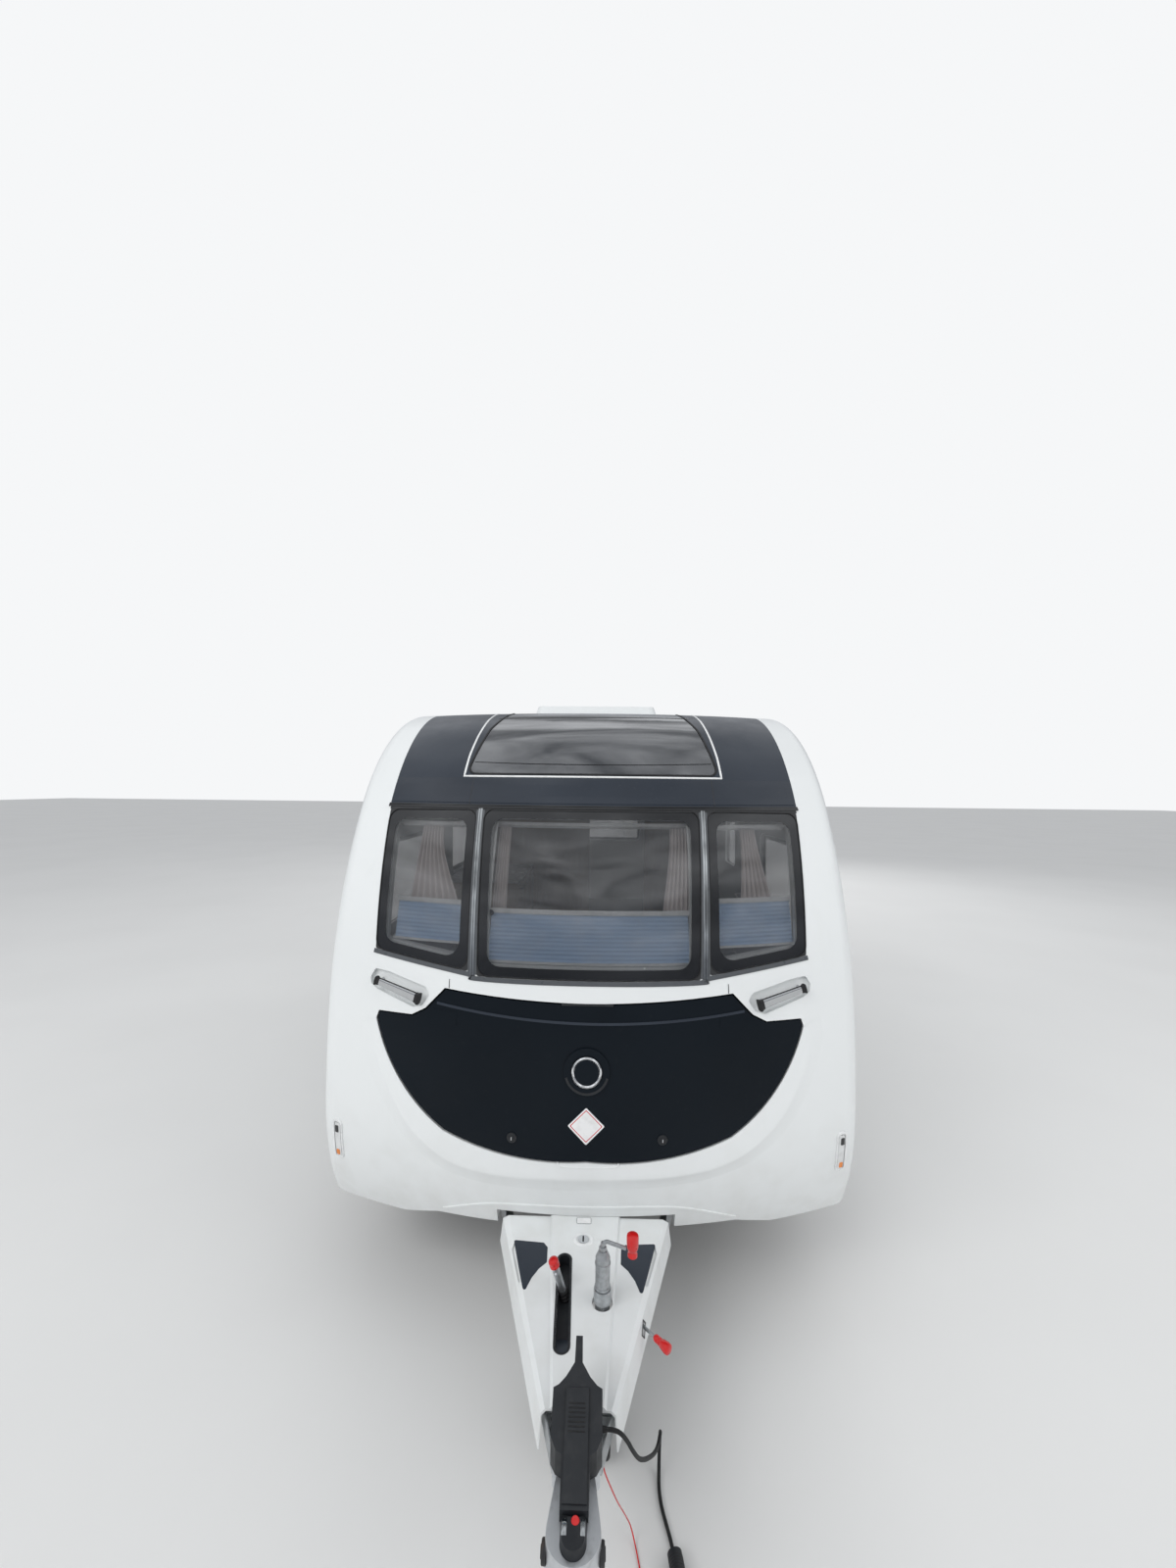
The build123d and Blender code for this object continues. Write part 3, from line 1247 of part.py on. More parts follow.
with BuildPart() as steady_brackets:
    for side in (-1, 1):
        for y in (STEADY_FRONT_Y, STEADY_REAR_Y):
            with BuildSketch(Plane.XY.offset(STEADY_Z - 18)):
                with Locations((side * STEADY_X, y)):
                    Rectangle(STEADY_W + 18, 60)
                    Rectangle(STEADY_W + 10, 62, mode=Mode.SUBTRACT)
            extrude(amount=FLOOR_Z - SEAM - STEADY_Z + 18)
            with BuildSketch(Plane.XY.offset(FLOOR_Z - SEAM - 4)):
                with Locations((side * STEADY_X, y)):
                    Rectangle(STEADY_W + 18, 60)
            extrude(amount=4)
            with BuildSketch(Plane.YZ.offset(side * STEADY_X - STEADY_W / 2 - 7)):
                with Locations((y, STEADY_Z)):
                    Circle(STEADY_PIN_R)
            extrude(amount=STEADY_W + 14)
keep("steady_brackets", steady_brackets.part)

# Badge, grab handles and lamps
with BuildPart() as badge:
    with BuildSketch(Plane.XZ.offset(-FRONT_Y - 100)):
        with Locations((0, BADGE_Z)):
            Circle(BADGE_R)
    extrude(amount=250)
    add(body_form(-7, SKIRT_Z - 30), mode=Mode.INTERSECT)
    add(body_form(LID_DEPTH - SEAM, SKIRT_Z - 40), mode=Mode.SUBTRACT)
keep("badge_disc", badge.part)

with BuildPart() as handles:
    for side in (-1, 1):
        ends = [
            (Vector(side * x, front_y(x, z) - HANDLE_OUT, z), thick, wide)
            for x, z, thick, wide in (HANDLE_OUTER, HANDLE_INNER)
        ]
        way = ends[1][0] - ends[0][0]
        for centre, thick, wide in ends:
            with BuildSketch(Plane(origin=centre, x_dir=(0, -1, 0), z_dir=way)):
                RectangleRounded(thick, wide, 0.4 * thick)
        loft()
        for along in (0.08, 0.92):
            foot = ends[0][0] + way * along
            with BuildSketch(Plane.XZ.offset(-foot.Y)):
                with Locations((foot.X, foot.Z)):
                    Circle(HANDLE_POST_R)
            extrude(amount=-HANDLE_OUT - 2 * POCKET_DEPTH)
    add(body_form(POCKET_DEPTH - SEAM, SKIRT_Z - 40), mode=Mode.SUBTRACT)
keep("front_handles", handles.part)

with BuildPart() as markers:
    for side in (-1, 1):
        with BuildSketch(Plane.XZ.offset(-(FRONT_Y + 260))):
            with Locations((side * MARKER_X, MARKER_Z)):
                RectangleRounded(MARKER_W, MARKER_H, 8)
        extrude(amount=200)
    add(body_form(-8, SKIRT_Z - 30), mode=Mode.INTERSECT)
    add(body_form(-SEAM, SKIRT_Z - 30), mode=Mode.SUBTRACT)
keep("marker_lamps", markers.part)

with BuildPart() as rear_lamps:
    for side in (-1, 1):
        with BuildSketch(Plane.XZ.offset(-REAR_Y - SEAM)):
            with Locations((side * REAR_LAMP_X, REAR_LAMP_Z)):
                RectangleRounded(REAR_LAMP_W, REAR_LAMP_H, 40)
        extrude(amount=-14)
keep("rear_lamps", rear_lamps.part)

with BuildPart() as rear_bumper:
    with BuildSketch(Plane.XZ.offset(-REAR_Y - SEAM)):
        with Locations((0, BUMPER_Z)):
            RectangleRounded(BUMPER_W, BUMPER_H, 50)
    extrude(amount=-22)
keep("rear_bumper", rear_bumper.part)

# Electric cable to the car, and the breakaway cable
CABLE_R = 5.5
CABLE_POINTS = [
    (80.8, -3196, 463.5),
    (106, -3196, 463.5),
    (131, -3194, 438),
    (150, -3184, 394),
    (168, -3158, 343),
    (188, -3115, 293),
    (207, -3062, 240),
    (226, -3008, 190),
    (243, -2952, 152),
    (255, -2900, 136),
    (258, -2863, 99),
    (256, -2863, 47),
    (251, -2900, 8),
    (247, -2945, 6.5),
    (251, -2990, 6.5),
    (262, -3035, 6.5),
    (272, -3075, 6.5),
    (276, -3108, 6.5),
]
RED_R = 2
RED_POINTS = [
    (70, -3200, 389.5),
    (70, -3200, 364),
    (82, -3191, 322),
    (96, -3172, 270),
    (112, -3145, 205),
    (128, -3110, 140),
    (142, -3078, 80),
    (154, -3058, 34),
    (164, -3070, 6),
    (172, -3105, 3),
    (180, -3150, 3),
    (186, -3190, 3),
]


def cord_tube(points, radius):
    """A tube of straight runs joined by arcs as large as the runs allow."""
    points = [Vector(*p) for p in points]
    radii = []
    for before, corner, after in zip(points, points[1:], points[2:]):
        turn = math.radians((corner - before).get_angle(after - corner))
        run = min((corner - before).length, (after - corner).length)
        radii.append(0.45 * run / math.tan(turn / 2))
    with BuildPart() as tube:
        with BuildLine():
            path = FilletPolyline(*points, radius=radii)
        with BuildSketch(Plane(origin=path @ 0, z_dir=path % 0)):
            Circle(radius)
        sweep()
    length = path.length
    filled = tube.part.volume / (math.pi * radius**2 * length)
    print("cord", round(length), [round(r) for r in radii], round(filled, 4))
    return tube.part


keep("car_cable", cord_tube(CABLE_POINTS, CABLE_R))
keep("breakaway_cable", cord_tube(RED_POINTS, RED_R))
with BuildPart() as plug:
    start = Vector(*CABLE_POINTS[-1])
    way = (start - Vector(*CABLE_POINTS[-2])).normalized()
    with BuildSketch(Plane(origin=start + way * 0.1 + Vector(0, 0, 16), z_dir=way)):
        Circle(21)
    extrude(amount=90)
keep("cable_plug", plug.part)

with BuildPart() as gland:
    with BuildSketch(Plane.YZ.offset(FRAME_FRONT_X - RAIL_T)):
        with Locations((CABLE_POINTS[0][1], CABLE_POINTS[0][2])):
            Circle(8)
    extrude(amount=CABLE_POINTS[0][0] - SEAM - FRAME_FRONT_X + RAIL_T, taper=6)
keep("cable_gland", gland.part)

with BuildPart() as hook:
    end = RED_POINTS[-1]
    with BuildSketch(Plane.XY.offset(0.5)):
        with Locations((end[0] + 1, end[1] - 33.2)):
            SlotOverall(66, 30, rotation=90)
            SlotOverall(54, 18, rotation=90, mode=Mode.SUBTRACT)
    extrude(amount=6)
keep("breakaway_hook", hook.part)

os.makedirs("parts", exist_ok=True)
for name, shape in nodes.items():
    export_step(shape, f"parts/{name}.step")
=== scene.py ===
"""Looks of a travel caravan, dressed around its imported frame. Metres, in the frame's axes:
X to the right seen from in front, Y from the coupling to the rear, Z up."""

import json
import math

import bmesh
import bpy
from mathutils import Matrix, Vector


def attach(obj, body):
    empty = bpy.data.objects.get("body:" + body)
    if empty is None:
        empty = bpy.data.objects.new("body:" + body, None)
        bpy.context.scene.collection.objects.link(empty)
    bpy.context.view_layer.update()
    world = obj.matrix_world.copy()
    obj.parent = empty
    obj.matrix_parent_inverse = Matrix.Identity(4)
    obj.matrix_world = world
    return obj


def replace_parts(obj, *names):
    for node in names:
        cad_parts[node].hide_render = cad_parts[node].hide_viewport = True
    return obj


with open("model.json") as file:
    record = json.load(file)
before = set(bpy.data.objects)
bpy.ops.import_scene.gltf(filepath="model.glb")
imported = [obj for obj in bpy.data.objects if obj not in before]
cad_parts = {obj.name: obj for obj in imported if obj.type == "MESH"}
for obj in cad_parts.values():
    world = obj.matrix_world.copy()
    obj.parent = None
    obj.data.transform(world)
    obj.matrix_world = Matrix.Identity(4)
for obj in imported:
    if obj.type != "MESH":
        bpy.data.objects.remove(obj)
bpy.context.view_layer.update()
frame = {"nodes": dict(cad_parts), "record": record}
nodes = frame["nodes"]

# Body sizes that the frame's front surface is worked out from
HALF = 1.125
HEIGHT = 2.615
FRONT_Y = -2.56
BOW = 0.235
CHEST_Z = 0.85
CHEST_LOW_R = 0.89
CHEST_R = 3.65
CHEST_TURN = math.radians(5.5)
WINDOW_R = 1.9
WINDOW_TURN = math.radians(36)
PANE_DEPTH = 0.001
LID_DEPTH = 0.002

SIDES = ((-1, "left"), (1, "right"))

# Outlines on the front as (x, z), the right half or the whole
CENTRE_PANE = [(-0.470, 2.083), (0.470, 2.083), (0.437, 1.440), (-0.437, 1.440)]
SIDE_PANE = [(0.510, 2.080), (0.930, 2.073), (0.889, 1.508), (0.482, 1.456)]
SKYLIGHT = [(0.588, 2.242), (0.566, 2.343), (0.534, 2.480), (0.452, 2.640)]

# Heights of the round badge's and the blank diamond's middles
BADGE_Z = 1.107
DIAMOND_Z = 0.906


def mirrored(points):
    """The same outline on the other side, in the order that keeps it closed."""
    return [(-x, z) for x, z in reversed(points)]


# Materials


def plug(tree, value, socket):
    """Links another node's output to a socket, or sets the socket to a value."""
    if isinstance(value, bpy.types.NodeSocket):
        tree.links.new(value, socket)
    else:
        socket.default_value = value


def shader_node(tree, kind, sockets=None):
    """A shader node with some of its inputs set or linked."""
    node = tree.nodes.new("ShaderNode" + kind)
    for key, value in (sockets or {}).items():
        plug(tree, value, node.inputs[key])
    return node


class Finish:
    """A node-built material, with short calls for the nodes that most of them use."""

    def __init__(self, name, color, rough, metallic=0.0, **sockets):
        self.material = bpy.data.materials.new(name)
        self.material.use_nodes = True
        self.tree = self.material.node_tree
        self.inputs = self.tree.nodes["Principled BSDF"].inputs
        self.inputs["Base Color"].default_value = (*color, 1)
        self.inputs["Roughness"].default_value = rough
        self.inputs["Metallic"].default_value = metallic
        for socket, value in sockets.items():
            self.inputs[socket.replace("_", " ").title().replace("Ior", "IOR")].default_value = value
        self.place = self.node("TexCoord").outputs["Object"]

    def node(self, kind, sockets=None):
        return shader_node(self.tree, kind, sockets)

    def stretched(self, scale):
        return self.node("Mapping", {"Scale": scale, "Vector": self.place}).outputs["Vector"]

    def noise(self, scale, detail=4.0, stretch=(1, 1, 1), distortion=0.0):
        sockets = {"Scale": scale, "Detail": detail, "Distortion": distortion, "Vector": self.stretched(stretch)}
        return self.node("TexNoise", sockets).outputs["Fac"]

    def cells(self, scale):
        return self.node("TexVoronoi", {"Scale": scale, "Vector": self.stretched((1, 1, 1))}).outputs["Color"]

    def waves(self, scale, direction):
        node = self.node("TexWave", {"Scale": scale, "Distortion": 0.0, "Vector": self.place})
        node.bands_direction = direction
        return node.outputs["Fac"]

    def range(self, value, low, high, to_low=0.0, to_high=1.0):
        return self.node("MapRange", {0: value, 1: low, 2: high, 3: to_low, 4: to_high}).outputs[0]

    def height(self):
        return self.node("SeparateXYZ", {0: self.place}).outputs["Z"]

    def times(self, first, second):
        node = self.node("Math", {0: first, 1: second})
        node.operation = "MULTIPLY"
        return node.outputs[0]

    def tint(self, factor, color, amount=1.0):
        """Mixes a second colour in by a factor, over what the base colour already has."""
        node = self.node("Mix")
        node.data_type = "RGBA"
        base = self.inputs["Base Color"]
        plug(self.tree, base.links[0].from_socket if base.is_linked else base.default_value, node.inputs["A"])
        node.inputs["B"].default_value = (*color, 1)
        if amount != 1.0:
            factor = self.times(factor, amount)
        self.tree.links.new(factor, node.inputs["Factor"])
        self.tree.links.new(node.outputs["Result"], base)

    def roughness(self, value, low, high):
        self.tree.links.new(self.range(value, 0.3, 0.7, low, high), self.inputs["Roughness"])

    def bump(self, value, strength, distance=0.001):
        """Adds a bump over the ones that the material has, and returns the material."""
        node = self.node("Bump", {"Strength": strength, "Distance": distance, "Height": value})
        normal = self.inputs["Normal"]
        if normal.is_linked:
            self.tree.links.new(normal.links[0].from_socket, node.inputs["Normal"])
        self.tree.links.new(node.outputs["Normal"], normal)
        return self.material


def gelcoat():
    f = Finish("gelcoat_white", (0.80, 0.82, 0.82), 0.34, coat_weight=0.2, coat_roughness=0.18)
    f.tint(f.range(f.noise(1.3), 0.35, 0.7), (0.74, 0.765, 0.765), 0.25)
    # A warm grey-olive tint in patches, stronger towards the bottom
    low = f.range(f.height(), 0.42, 0.95, 1.0, 0.0)
    lower_tint_patches = f.times(low, f.range(f.noise(9, 6), 0.42, 0.75))
    f.tint(lower_tint_patches, (0.42, 0.40, 0.34), 0.20)
    streaks = f.range(f.noise(14, 5, (1, 1, 0.06)), 0.58, 0.80)
    f.tint(streaks, (0.62, 0.63, 0.60), 0.10)
    f.roughness(f.noise(5), 0.30, 0.40)
    return f.bump(f.noise(420, 2), 0.03)


def dark_gelcoat(name="charcoal_panel", color=(0.020, 0.027, 0.040), rough=(0.28, 0.40)):
    f = Finish(name, color, 0.34, coat_weight=0.10, coat_roughness=0.12, specular_ior_level=0.35)
    f.tint(f.range(f.noise(2.2), 0.35, 0.7), (0.032, 0.042, 0.058), 0.6)
    f.tint(f.range(f.noise(60, 6), 0.62, 0.8), (0.12, 0.12, 0.11), 0.10)
    f.roughness(f.noise(7), *rough)
    return f.bump(f.noise(300, 2), 0.06)


def lid_black():
    f = Finish("lid_black", (0.0045, 0.0075, 0.0115), 0.46, specular_ior_level=0.14)
    f.tint(f.range(f.noise(3), 0.35, 0.7), (0.006, 0.010, 0.015), 0.6)
    f.tint(f.range(f.noise(40, 8), 0.62, 0.85), (0.05, 0.05, 0.046), 0.08)
    f.roughness(f.noise(6), 0.40, 0.55)
    return f.bump(f.cells(900), 0.05, 0.0004)


def black_plastic(name="black_plastic", color=(0.013, 0.015, 0.018)):
    f = Finish(name, color, 0.5)
    f.tint(f.range(f.noise(30, 6), 0.5, 0.8), (0.05, 0.05, 0.052), 0.35)
    f.roughness(f.noise(25), 0.42, 0.6)
    return f.bump(f.noise(700, 3), 0.14, 0.0006)


def acrylic(name="acrylic_tint", color=(0.012, 0.016, 0.022), alpha=0.36):
    f = Finish(name, color, 0.03, ior=1.9, alpha=alpha, coat_weight=1.0, coat_roughness=0.02, coat_ior=1.9)
    f.roughness(f.noise(3), 0.02, 0.05)
    return f.bump(f.noise(2.2, 1), 0.12, 0.004)


def galvanised(name="galvanised", color=(0.42, 0.44, 0.45)):
    f = Finish(name, color, 0.42, 0.9)
    f.tint(f.range(f.noise(70, 5), 0.35, 0.7), (0.62, 0.64, 0.66), 0.7)
    f.tint(f.range(f.noise(22, 7), 0.58, 0.78), (0.24, 0.235, 0.22), 0.55)
    f.roughness(f.noise(60), 0.34, 0.58)
    return f.bump(f.noise(240, 3), 0.18, 0.0008)


def alloy():
    f = Finish("rim_alloy", (0.56, 0.57, 0.59), 0.30, 0.85, coat_weight=0.4, coat_roughness=0.1)
    f.tint(f.range(f.noise(16, 6), 0.5, 0.8), (0.30, 0.29, 0.27), 0.4)
    f.roughness(f.noise(40), 0.24, 0.42)
    return f.bump(f.noise(500, 2), 0.05)


def chrome(name="chrome", color=(0.78, 0.79, 0.81)):
    f = Finish(name, color, 0.07, 1.0)
    f.roughness(f.noise(30, 5), 0.04, 0.16)
    return f.bump(f.noise(14, 2), 0.04, 0.001)


def cast():
    f = Finish("cast_black", (0.045, 0.045, 0.047), 0.55, 0.4)
    f.tint(f.range(f.noise(30, 7), 0.5, 0.75), (0.16, 0.10, 0.06), 0.4)
    return f.bump(f.noise(260, 4), 0.35, 0.001)


def tyre_rubber():
    f = Finish("tyre_rubber", (0.016, 0.016, 0.017), 0.8)
    f.tint(f.range(f.noise(26, 8), 0.50, 0.80), (0.060, 0.057, 0.052), 0.4)
    return f.bump(f.noise(320, 4), 0.3, 0.0008)


def soft_black():
    f = Finish("rubber", (0.012, 0.012, 0.013), 0.62)
    f.tint(f.range(f.noise(50, 6), 0.5, 0.8), (0.05, 0.05, 0.048), 0.4)
    return f.bump(f.noise(420, 3), 0.2, 0.0006)


def glossy_plastic(name, color, rough=0.22):
    f = Finish(name, color, rough, coat_weight=0.5, coat_roughness=0.1)
    f.tint(f.range(f.noise(40, 5), 0.45, 0.8), tuple(0.7 * c for c in color), 0.5)
    f.roughness(f.noise(30), rough - 0.04, rough + 0.12)
    return f.bump(f.noise(220, 2), 0.05)


def board():
    f = Finish("pale_board", (0.42, 0.33, 0.235), 0.38, coat_weight=0.15)
    grain = f.noise(16, 8, (6, 6, 0.45), 1.2)
    f.tint(f.range(grain, 0.35, 0.68), (0.30, 0.225, 0.15), 0.8)
    f.roughness(grain, 0.30, 0.46)
    return f.bump(grain, 0.10, 0.0006)


def floor_board():
    f = Finish("sealed_board", (0.045, 0.042, 0.038), 0.7)
    f.tint(f.range(f.noise(9, 8, (1, 8, 1)), 0.4, 0.7), (0.10, 0.09, 0.075), 0.7)
    return f.bump(f.noise(60, 6, (1, 6, 1)), 0.3, 0.001)


def upholstery():
    f = Finish("seat_fabric", (0.30, 0.29, 0.28), 0.9, sheen_weight=0.35, sheen_roughness=0.5)
    f.tint(f.range(f.noise(700, 2, (1, 6, 1)), 0.4, 0.65), (0.20, 0.195, 0.19), 0.8)
    f.tint(f.range(f.noise(8, 5), 0.4, 0.75), (0.38, 0.365, 0.345), 0.5)
    f.bump(f.waves(330, "X"), 0.25, 0.0006)
    return f.bump(f.waves(330, "Y"), 0.25, 0.0006)


def curtain_cloth():
    f = Finish("curtain_cloth", (0.74, 0.68, 0.66), 0.85, sheen_weight=0.3)
    f.tint(f.range(f.noise(500, 2, (1, 1, 5)), 0.4, 0.65), (0.62, 0.56, 0.55), 0.7)
    return f.bump(f.waves(420, "Z"), 0.2, 0.0004)


def blind_cloth():
    f = Finish("blind_cloth", (0.50, 0.66, 0.88), 0.75)
    f.tint(f.range(f.noise(12, 4), 0.4, 0.75), (0.62, 0.72, 0.86), 0.6)
    return f.bump(f.noise(600, 2), 0.15, 0.0004)


M = {
    "gelcoat": gelcoat(),
    "dark_panel": dark_gelcoat(),
    "lid_black": lid_black(),
    "black_plastic": black_plastic(),
    "acrylic": acrylic(),
    "galvanised": galvanised(),
    "cast": cast(),
    "alloy": alloy(),
    "chrome": chrome(),
    "tyre": tyre_rubber(),
    "rubber": soft_black(),
    "red_plastic": glossy_plastic("red_plastic", (0.62, 0.008, 0.008), 0.28),
    "lamp_red": glossy_plastic("lamp_red", (0.42, 0.006, 0.008), 0.12),
    "lamp_clear": glossy_plastic("lamp_clear", (0.72, 0.73, 0.73), 0.10),
    "wood": board(),
    "floor_ply": floor_board(),
    "fabric": upholstery(),
}
# Materials that three of the frame's nodes take instead
skylight_glass = acrylic("skylight_tint", (0.010, 0.015, 0.024), 0.82)
handle_metal = chrome("handle_metal", (0.50, 0.51, 0.52))
coupling_metal = galvanised("coupling_metal", (0.66, 0.68, 0.70))

# Finishes of the scene's own trim: a material and its slot
band_gloss = (dark_gelcoat("charcoal_band", (0.024, 0.030, 0.041), (0.16, 0.26)), "dark_panel")
black_gloss = (glossy_plastic("black_border", (0.006, 0.007, 0.009), 0.14), "black_plastic")
pillar_metal = (chrome("pillar_metal", (0.46, 0.48, 0.49)), "chrome")
seam_dark = (black_plastic("seam_dark", (0.03, 0.031, 0.033)), "black_plastic")
trim_white = (glossy_plastic("trim_white", (0.84, 0.85, 0.85), 0.26), "gelcoat")
bare_white = (glossy_plastic("bare_white", (0.86, 0.86, 0.86), 0.32), "gelcoat")
trim_grey = (glossy_plastic("trim_grey", (0.085, 0.092, 0.100), 0.30), "black_plastic")
lens_amber = (glossy_plastic("lens_amber", (0.80, 0.22, 0.01), 0.12), "lamp_clear")
curtain_fabric = (curtain_cloth(), "fabric")
blind_fabric = (blind_cloth(), "fabric")
cupboard_white = (glossy_plastic("cupboard_white", (0.66, 0.65, 0.62), 0.2), "wood")

# Finish of the frame's own nodes
for subpart in frame["record"]["subparts"]:
    node = nodes[subpart["node"]]
    node.data.materials.clear()
    node.data.materials.append(M[subpart["material_slot"]])
nodes["skylight"].data.materials[0] = skylight_glass
nodes["front_handles"].data.materials[0] = handle_metal
nodes["coupling_head"].data.materials[0] = coupling_metal


# Meshes


def new_object(name, data):
    """An object in the scene's own collection."""
    obj = bpy.data.objects.new(name, data)
    bpy.context.scene.collection.objects.link(obj)
    return obj


def piece(name, form, finish, body="caravan", sharp=35):
    """A mesh object that rides on a body, smooth apart from its sharp edges.

    The form is a vertex list with a face list, or a list of such forms. The finish is the name of a
    slot, or a material with the name of its slot.
    """
    verts, faces = join(form) if isinstance(form, list) else form
    material, slot = (M[finish], finish) if isinstance(finish, str) else finish
    mesh = bpy.data.meshes.new(name)
    mesh.from_pydata([tuple(v) for v in verts], [], faces)
    shape = bmesh.new()
    shape.from_mesh(mesh)
    bmesh.ops.remove_doubles(shape, verts=shape.verts, dist=1e-6)
    bmesh.ops.recalc_face_normals(shape, faces=shape.faces)
    shape.to_mesh(mesh)
    shape.free()
    mesh.materials.append(material)
    mesh.polygons.foreach_set("use_smooth", [True] * len(mesh.polygons))
    mesh.set_sharp_from_angle(angle=math.radians(sharp))
    obj = new_object(name, mesh)
    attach(obj, body)
    return obj


def loft_rings(rings, closed=True, cap=True):
    """Faces between rings of equal length, with flat ends if asked."""
    count = len(rings[0])
    verts = [v for ring in rings for v in ring]
    faces = []
    for a in range(0, len(verts) - count, count):
        b = a + count
        for j in range(count if closed else count - 1):
            k = (j + 1) % count
            faces.append((a + j, a + k, b + k, b + j))
    if cap:
        faces += [tuple(range(count)), tuple(reversed(range(len(verts) - count, len(verts))))]
    return verts, faces


def join(parts):
    """One vertex and face list from several."""
    verts, faces = [], []
    for some_verts, some_faces in parts:
        start = len(verts)
        verts += some_verts
        faces += [tuple(i + start for i in face) for face in some_faces]
    return verts, faces


def frame_of(axis):
    """Two directions square to an axis."""
    axis = Vector(axis).normalized()
    other = Vector((0, 0, 1)) if abs(axis.z) < 0.9 else Vector((0, 1, 0))
    u = axis.cross(other).normalized()
    return u, axis.cross(u).normalized()


def circle(centre, u, v, radius, count):
    """Points round a centre, in the plane of two directions."""
    turns = [2 * math.pi * k / count for k in range(count)]
    return [centre + (u * math.cos(a) + v * math.sin(a)) * radius for a in turns]


def turned(start, axis, profile, count=32, hole=False):
    """A turned form: profile is (distance along the axis, radius). A form with a hole has no flat ends."""
    axis = Vector(axis).normalized()
    u, v = frame_of(axis)
    if hole:
        profile = profile + profile[:1]
    rings = [circle(Vector(start) + axis * along, u, v, max(radius, 1e-5), count) for along, radius in profile]
    return loft_rings(rings, cap=not hole)


def tube(points, radius, count=12):
    """A round bar along points, with a radius for each point or one for all."""
    points = [Vector(p) for p in points]
    radii = radius if isinstance(radius, list) else [radius] * len(points)
    rings = []
    up = None
    for i, p in enumerate(points):
        way = (points[min(i + 1, len(points) - 1)] - points[max(i - 1, 0)]).normalized()
        if up is None:
            up = frame_of(way)[0]
        up = (up - way * up.dot(way)).normalized()
        rings.append(circle(p, up, way.cross(up), radii[i], count))
    return loft_rings(rings)


def rounded_box(low, high, radius=0.006, steps=3):
    """A box with rounded edges, as vertex and face lists."""
    form = bmesh.new()
    bmesh.ops.create_cube(form, size=1)
    low, high = Vector(low), Vector(high)
    for v in form.verts:
        v.co = Vector([low[i] + (v.co[i] + 0.5) * (high[i] - low[i]) for i in range(3)])
    bmesh.ops.bevel(form, geom=form.edges[:], offset=radius, segments=steps, affect="EDGES", profile=0.5)
    form.verts.index_update()
    verts = [v.co.copy() for v in form.verts]
    faces = [tuple(v.index for v in f.verts) for f in form.faces]
    form.free()
    return verts, faces


def between(a, b, t):
    """The point a share of the way from one point to another."""
    return tuple(p + (q - p) * t for p, q in zip(a, b))


def straight(a, b, steps):
    """Points in equal steps on the straight line between two."""
    return [between(a, b, k / steps) for k in range(steps + 1)]


def ellipse(cx, cy, rx, ry, count=48):
    """A closed outline on an ellipse."""
    turns = [2 * math.pi * k / count for k in range(count)]
    return [(cx + rx * math.cos(a), cy + ry * math.sin(a)) for a in turns]


def arc_through(a, b, c, count=12):
    """Points on the arc through three points of a plane."""
    (ax, ay), (bx, by), (cx, cy) = a, b, c
    d = 2 * (ax * (by - cy) + bx * (cy - ay) + cx * (ay - by))
    aa, bb, cc = ax * ax + ay * ay, bx * bx + by * by, cx * cx + cy * cy
    ux = (aa * (by - cy) + bb * (cy - ay) + cc * (ay - by)) / d
    uy = (aa * (cx - bx) + bb * (ax - cx) + cc * (bx - ax)) / d
    r = math.hypot(ax - ux, ay - uy)
    start, mid, end = (math.atan2(y - uy, x - ux) for x, y in (a, b, c))
    turn = (end - start) % (2 * math.pi)
    if (mid - start) % (2 * math.pi) > turn:
        turn -= 2 * math.pi
    return [
        (ux + r * math.cos(start + turn * i / count), uy + r * math.sin(start + turn * i / count))
        for i in range(count + 1)
    ]


def rounded_outline(points, radius, corner_n=6, edge_n=10):
    """A closed outline with rounded corners, with the same number of points for each corner and edge."""
    out = []
    count = len(points)
    corners = []
    for i in range(count):
        p = Vector(points[i])
        before = (Vector(points[i - 1]) - p).normalized()
        after = (Vector(points[(i + 1) % count]) - p).normalized()
        half = before.angle(after) / 2
        reach = radius / math.tan(half)
        centre = p + (before + after).normalized() * radius / math.sin(half)
        corners.append((p + before * reach, centre, p + after * reach))
    for i in range(count):
        enter, centre, leave = corners[i]
        a, b = enter - centre, leave - centre
        turn = a.angle(b)
        for k in range(corner_n + 1):
            t = k / corner_n
            way = (a * math.sin((1 - t) * turn) + b * math.sin(t * turn)) / math.sin(turn)
            out.append(tuple(centre + way))
        nxt = corners[(i + 1) % count][0]
        for k in range(1, edge_n):
            out.append(tuple(leave.lerp(nxt, k / edge_n)))
    return out


def grown(points, amount):
    """A closed outline moved outward from its own middle line by an amount."""
    out = []
    count = len(points)
    area = sum(points[i - 1][0] * points[i][1] - points[i][0] * points[i - 1][1] for i in range(count))
    sign = 1 if area > 0 else -1
    for i in range(count):
        a, b, c = Vector(points[i - 1]), Vector(points[i]), Vector(points[(i + 1) % count])
        n1 = Vector(((b - a).y, -(b - a).x)).normalized() * sign
        n2 = Vector(((c - b).y, -(c - b).x)).normalized() * sign
        bisector = (n1 + n2).normalized()
        out.append(tuple(b + bisector * amount / max(0.3, bisector.dot(n1))))
    return out


def box_outline(a0, b0, w, h, radius, corner_n=8, edge_n=14):
    """A rectangle with rounded corners, from its low corner, width and height."""
    return rounded_outline([(a0, b0), (a0 + w, b0), (a0 + w, b0 + h), (a0, b0 + h)], radius, corner_n, edge_n)


# The front surface


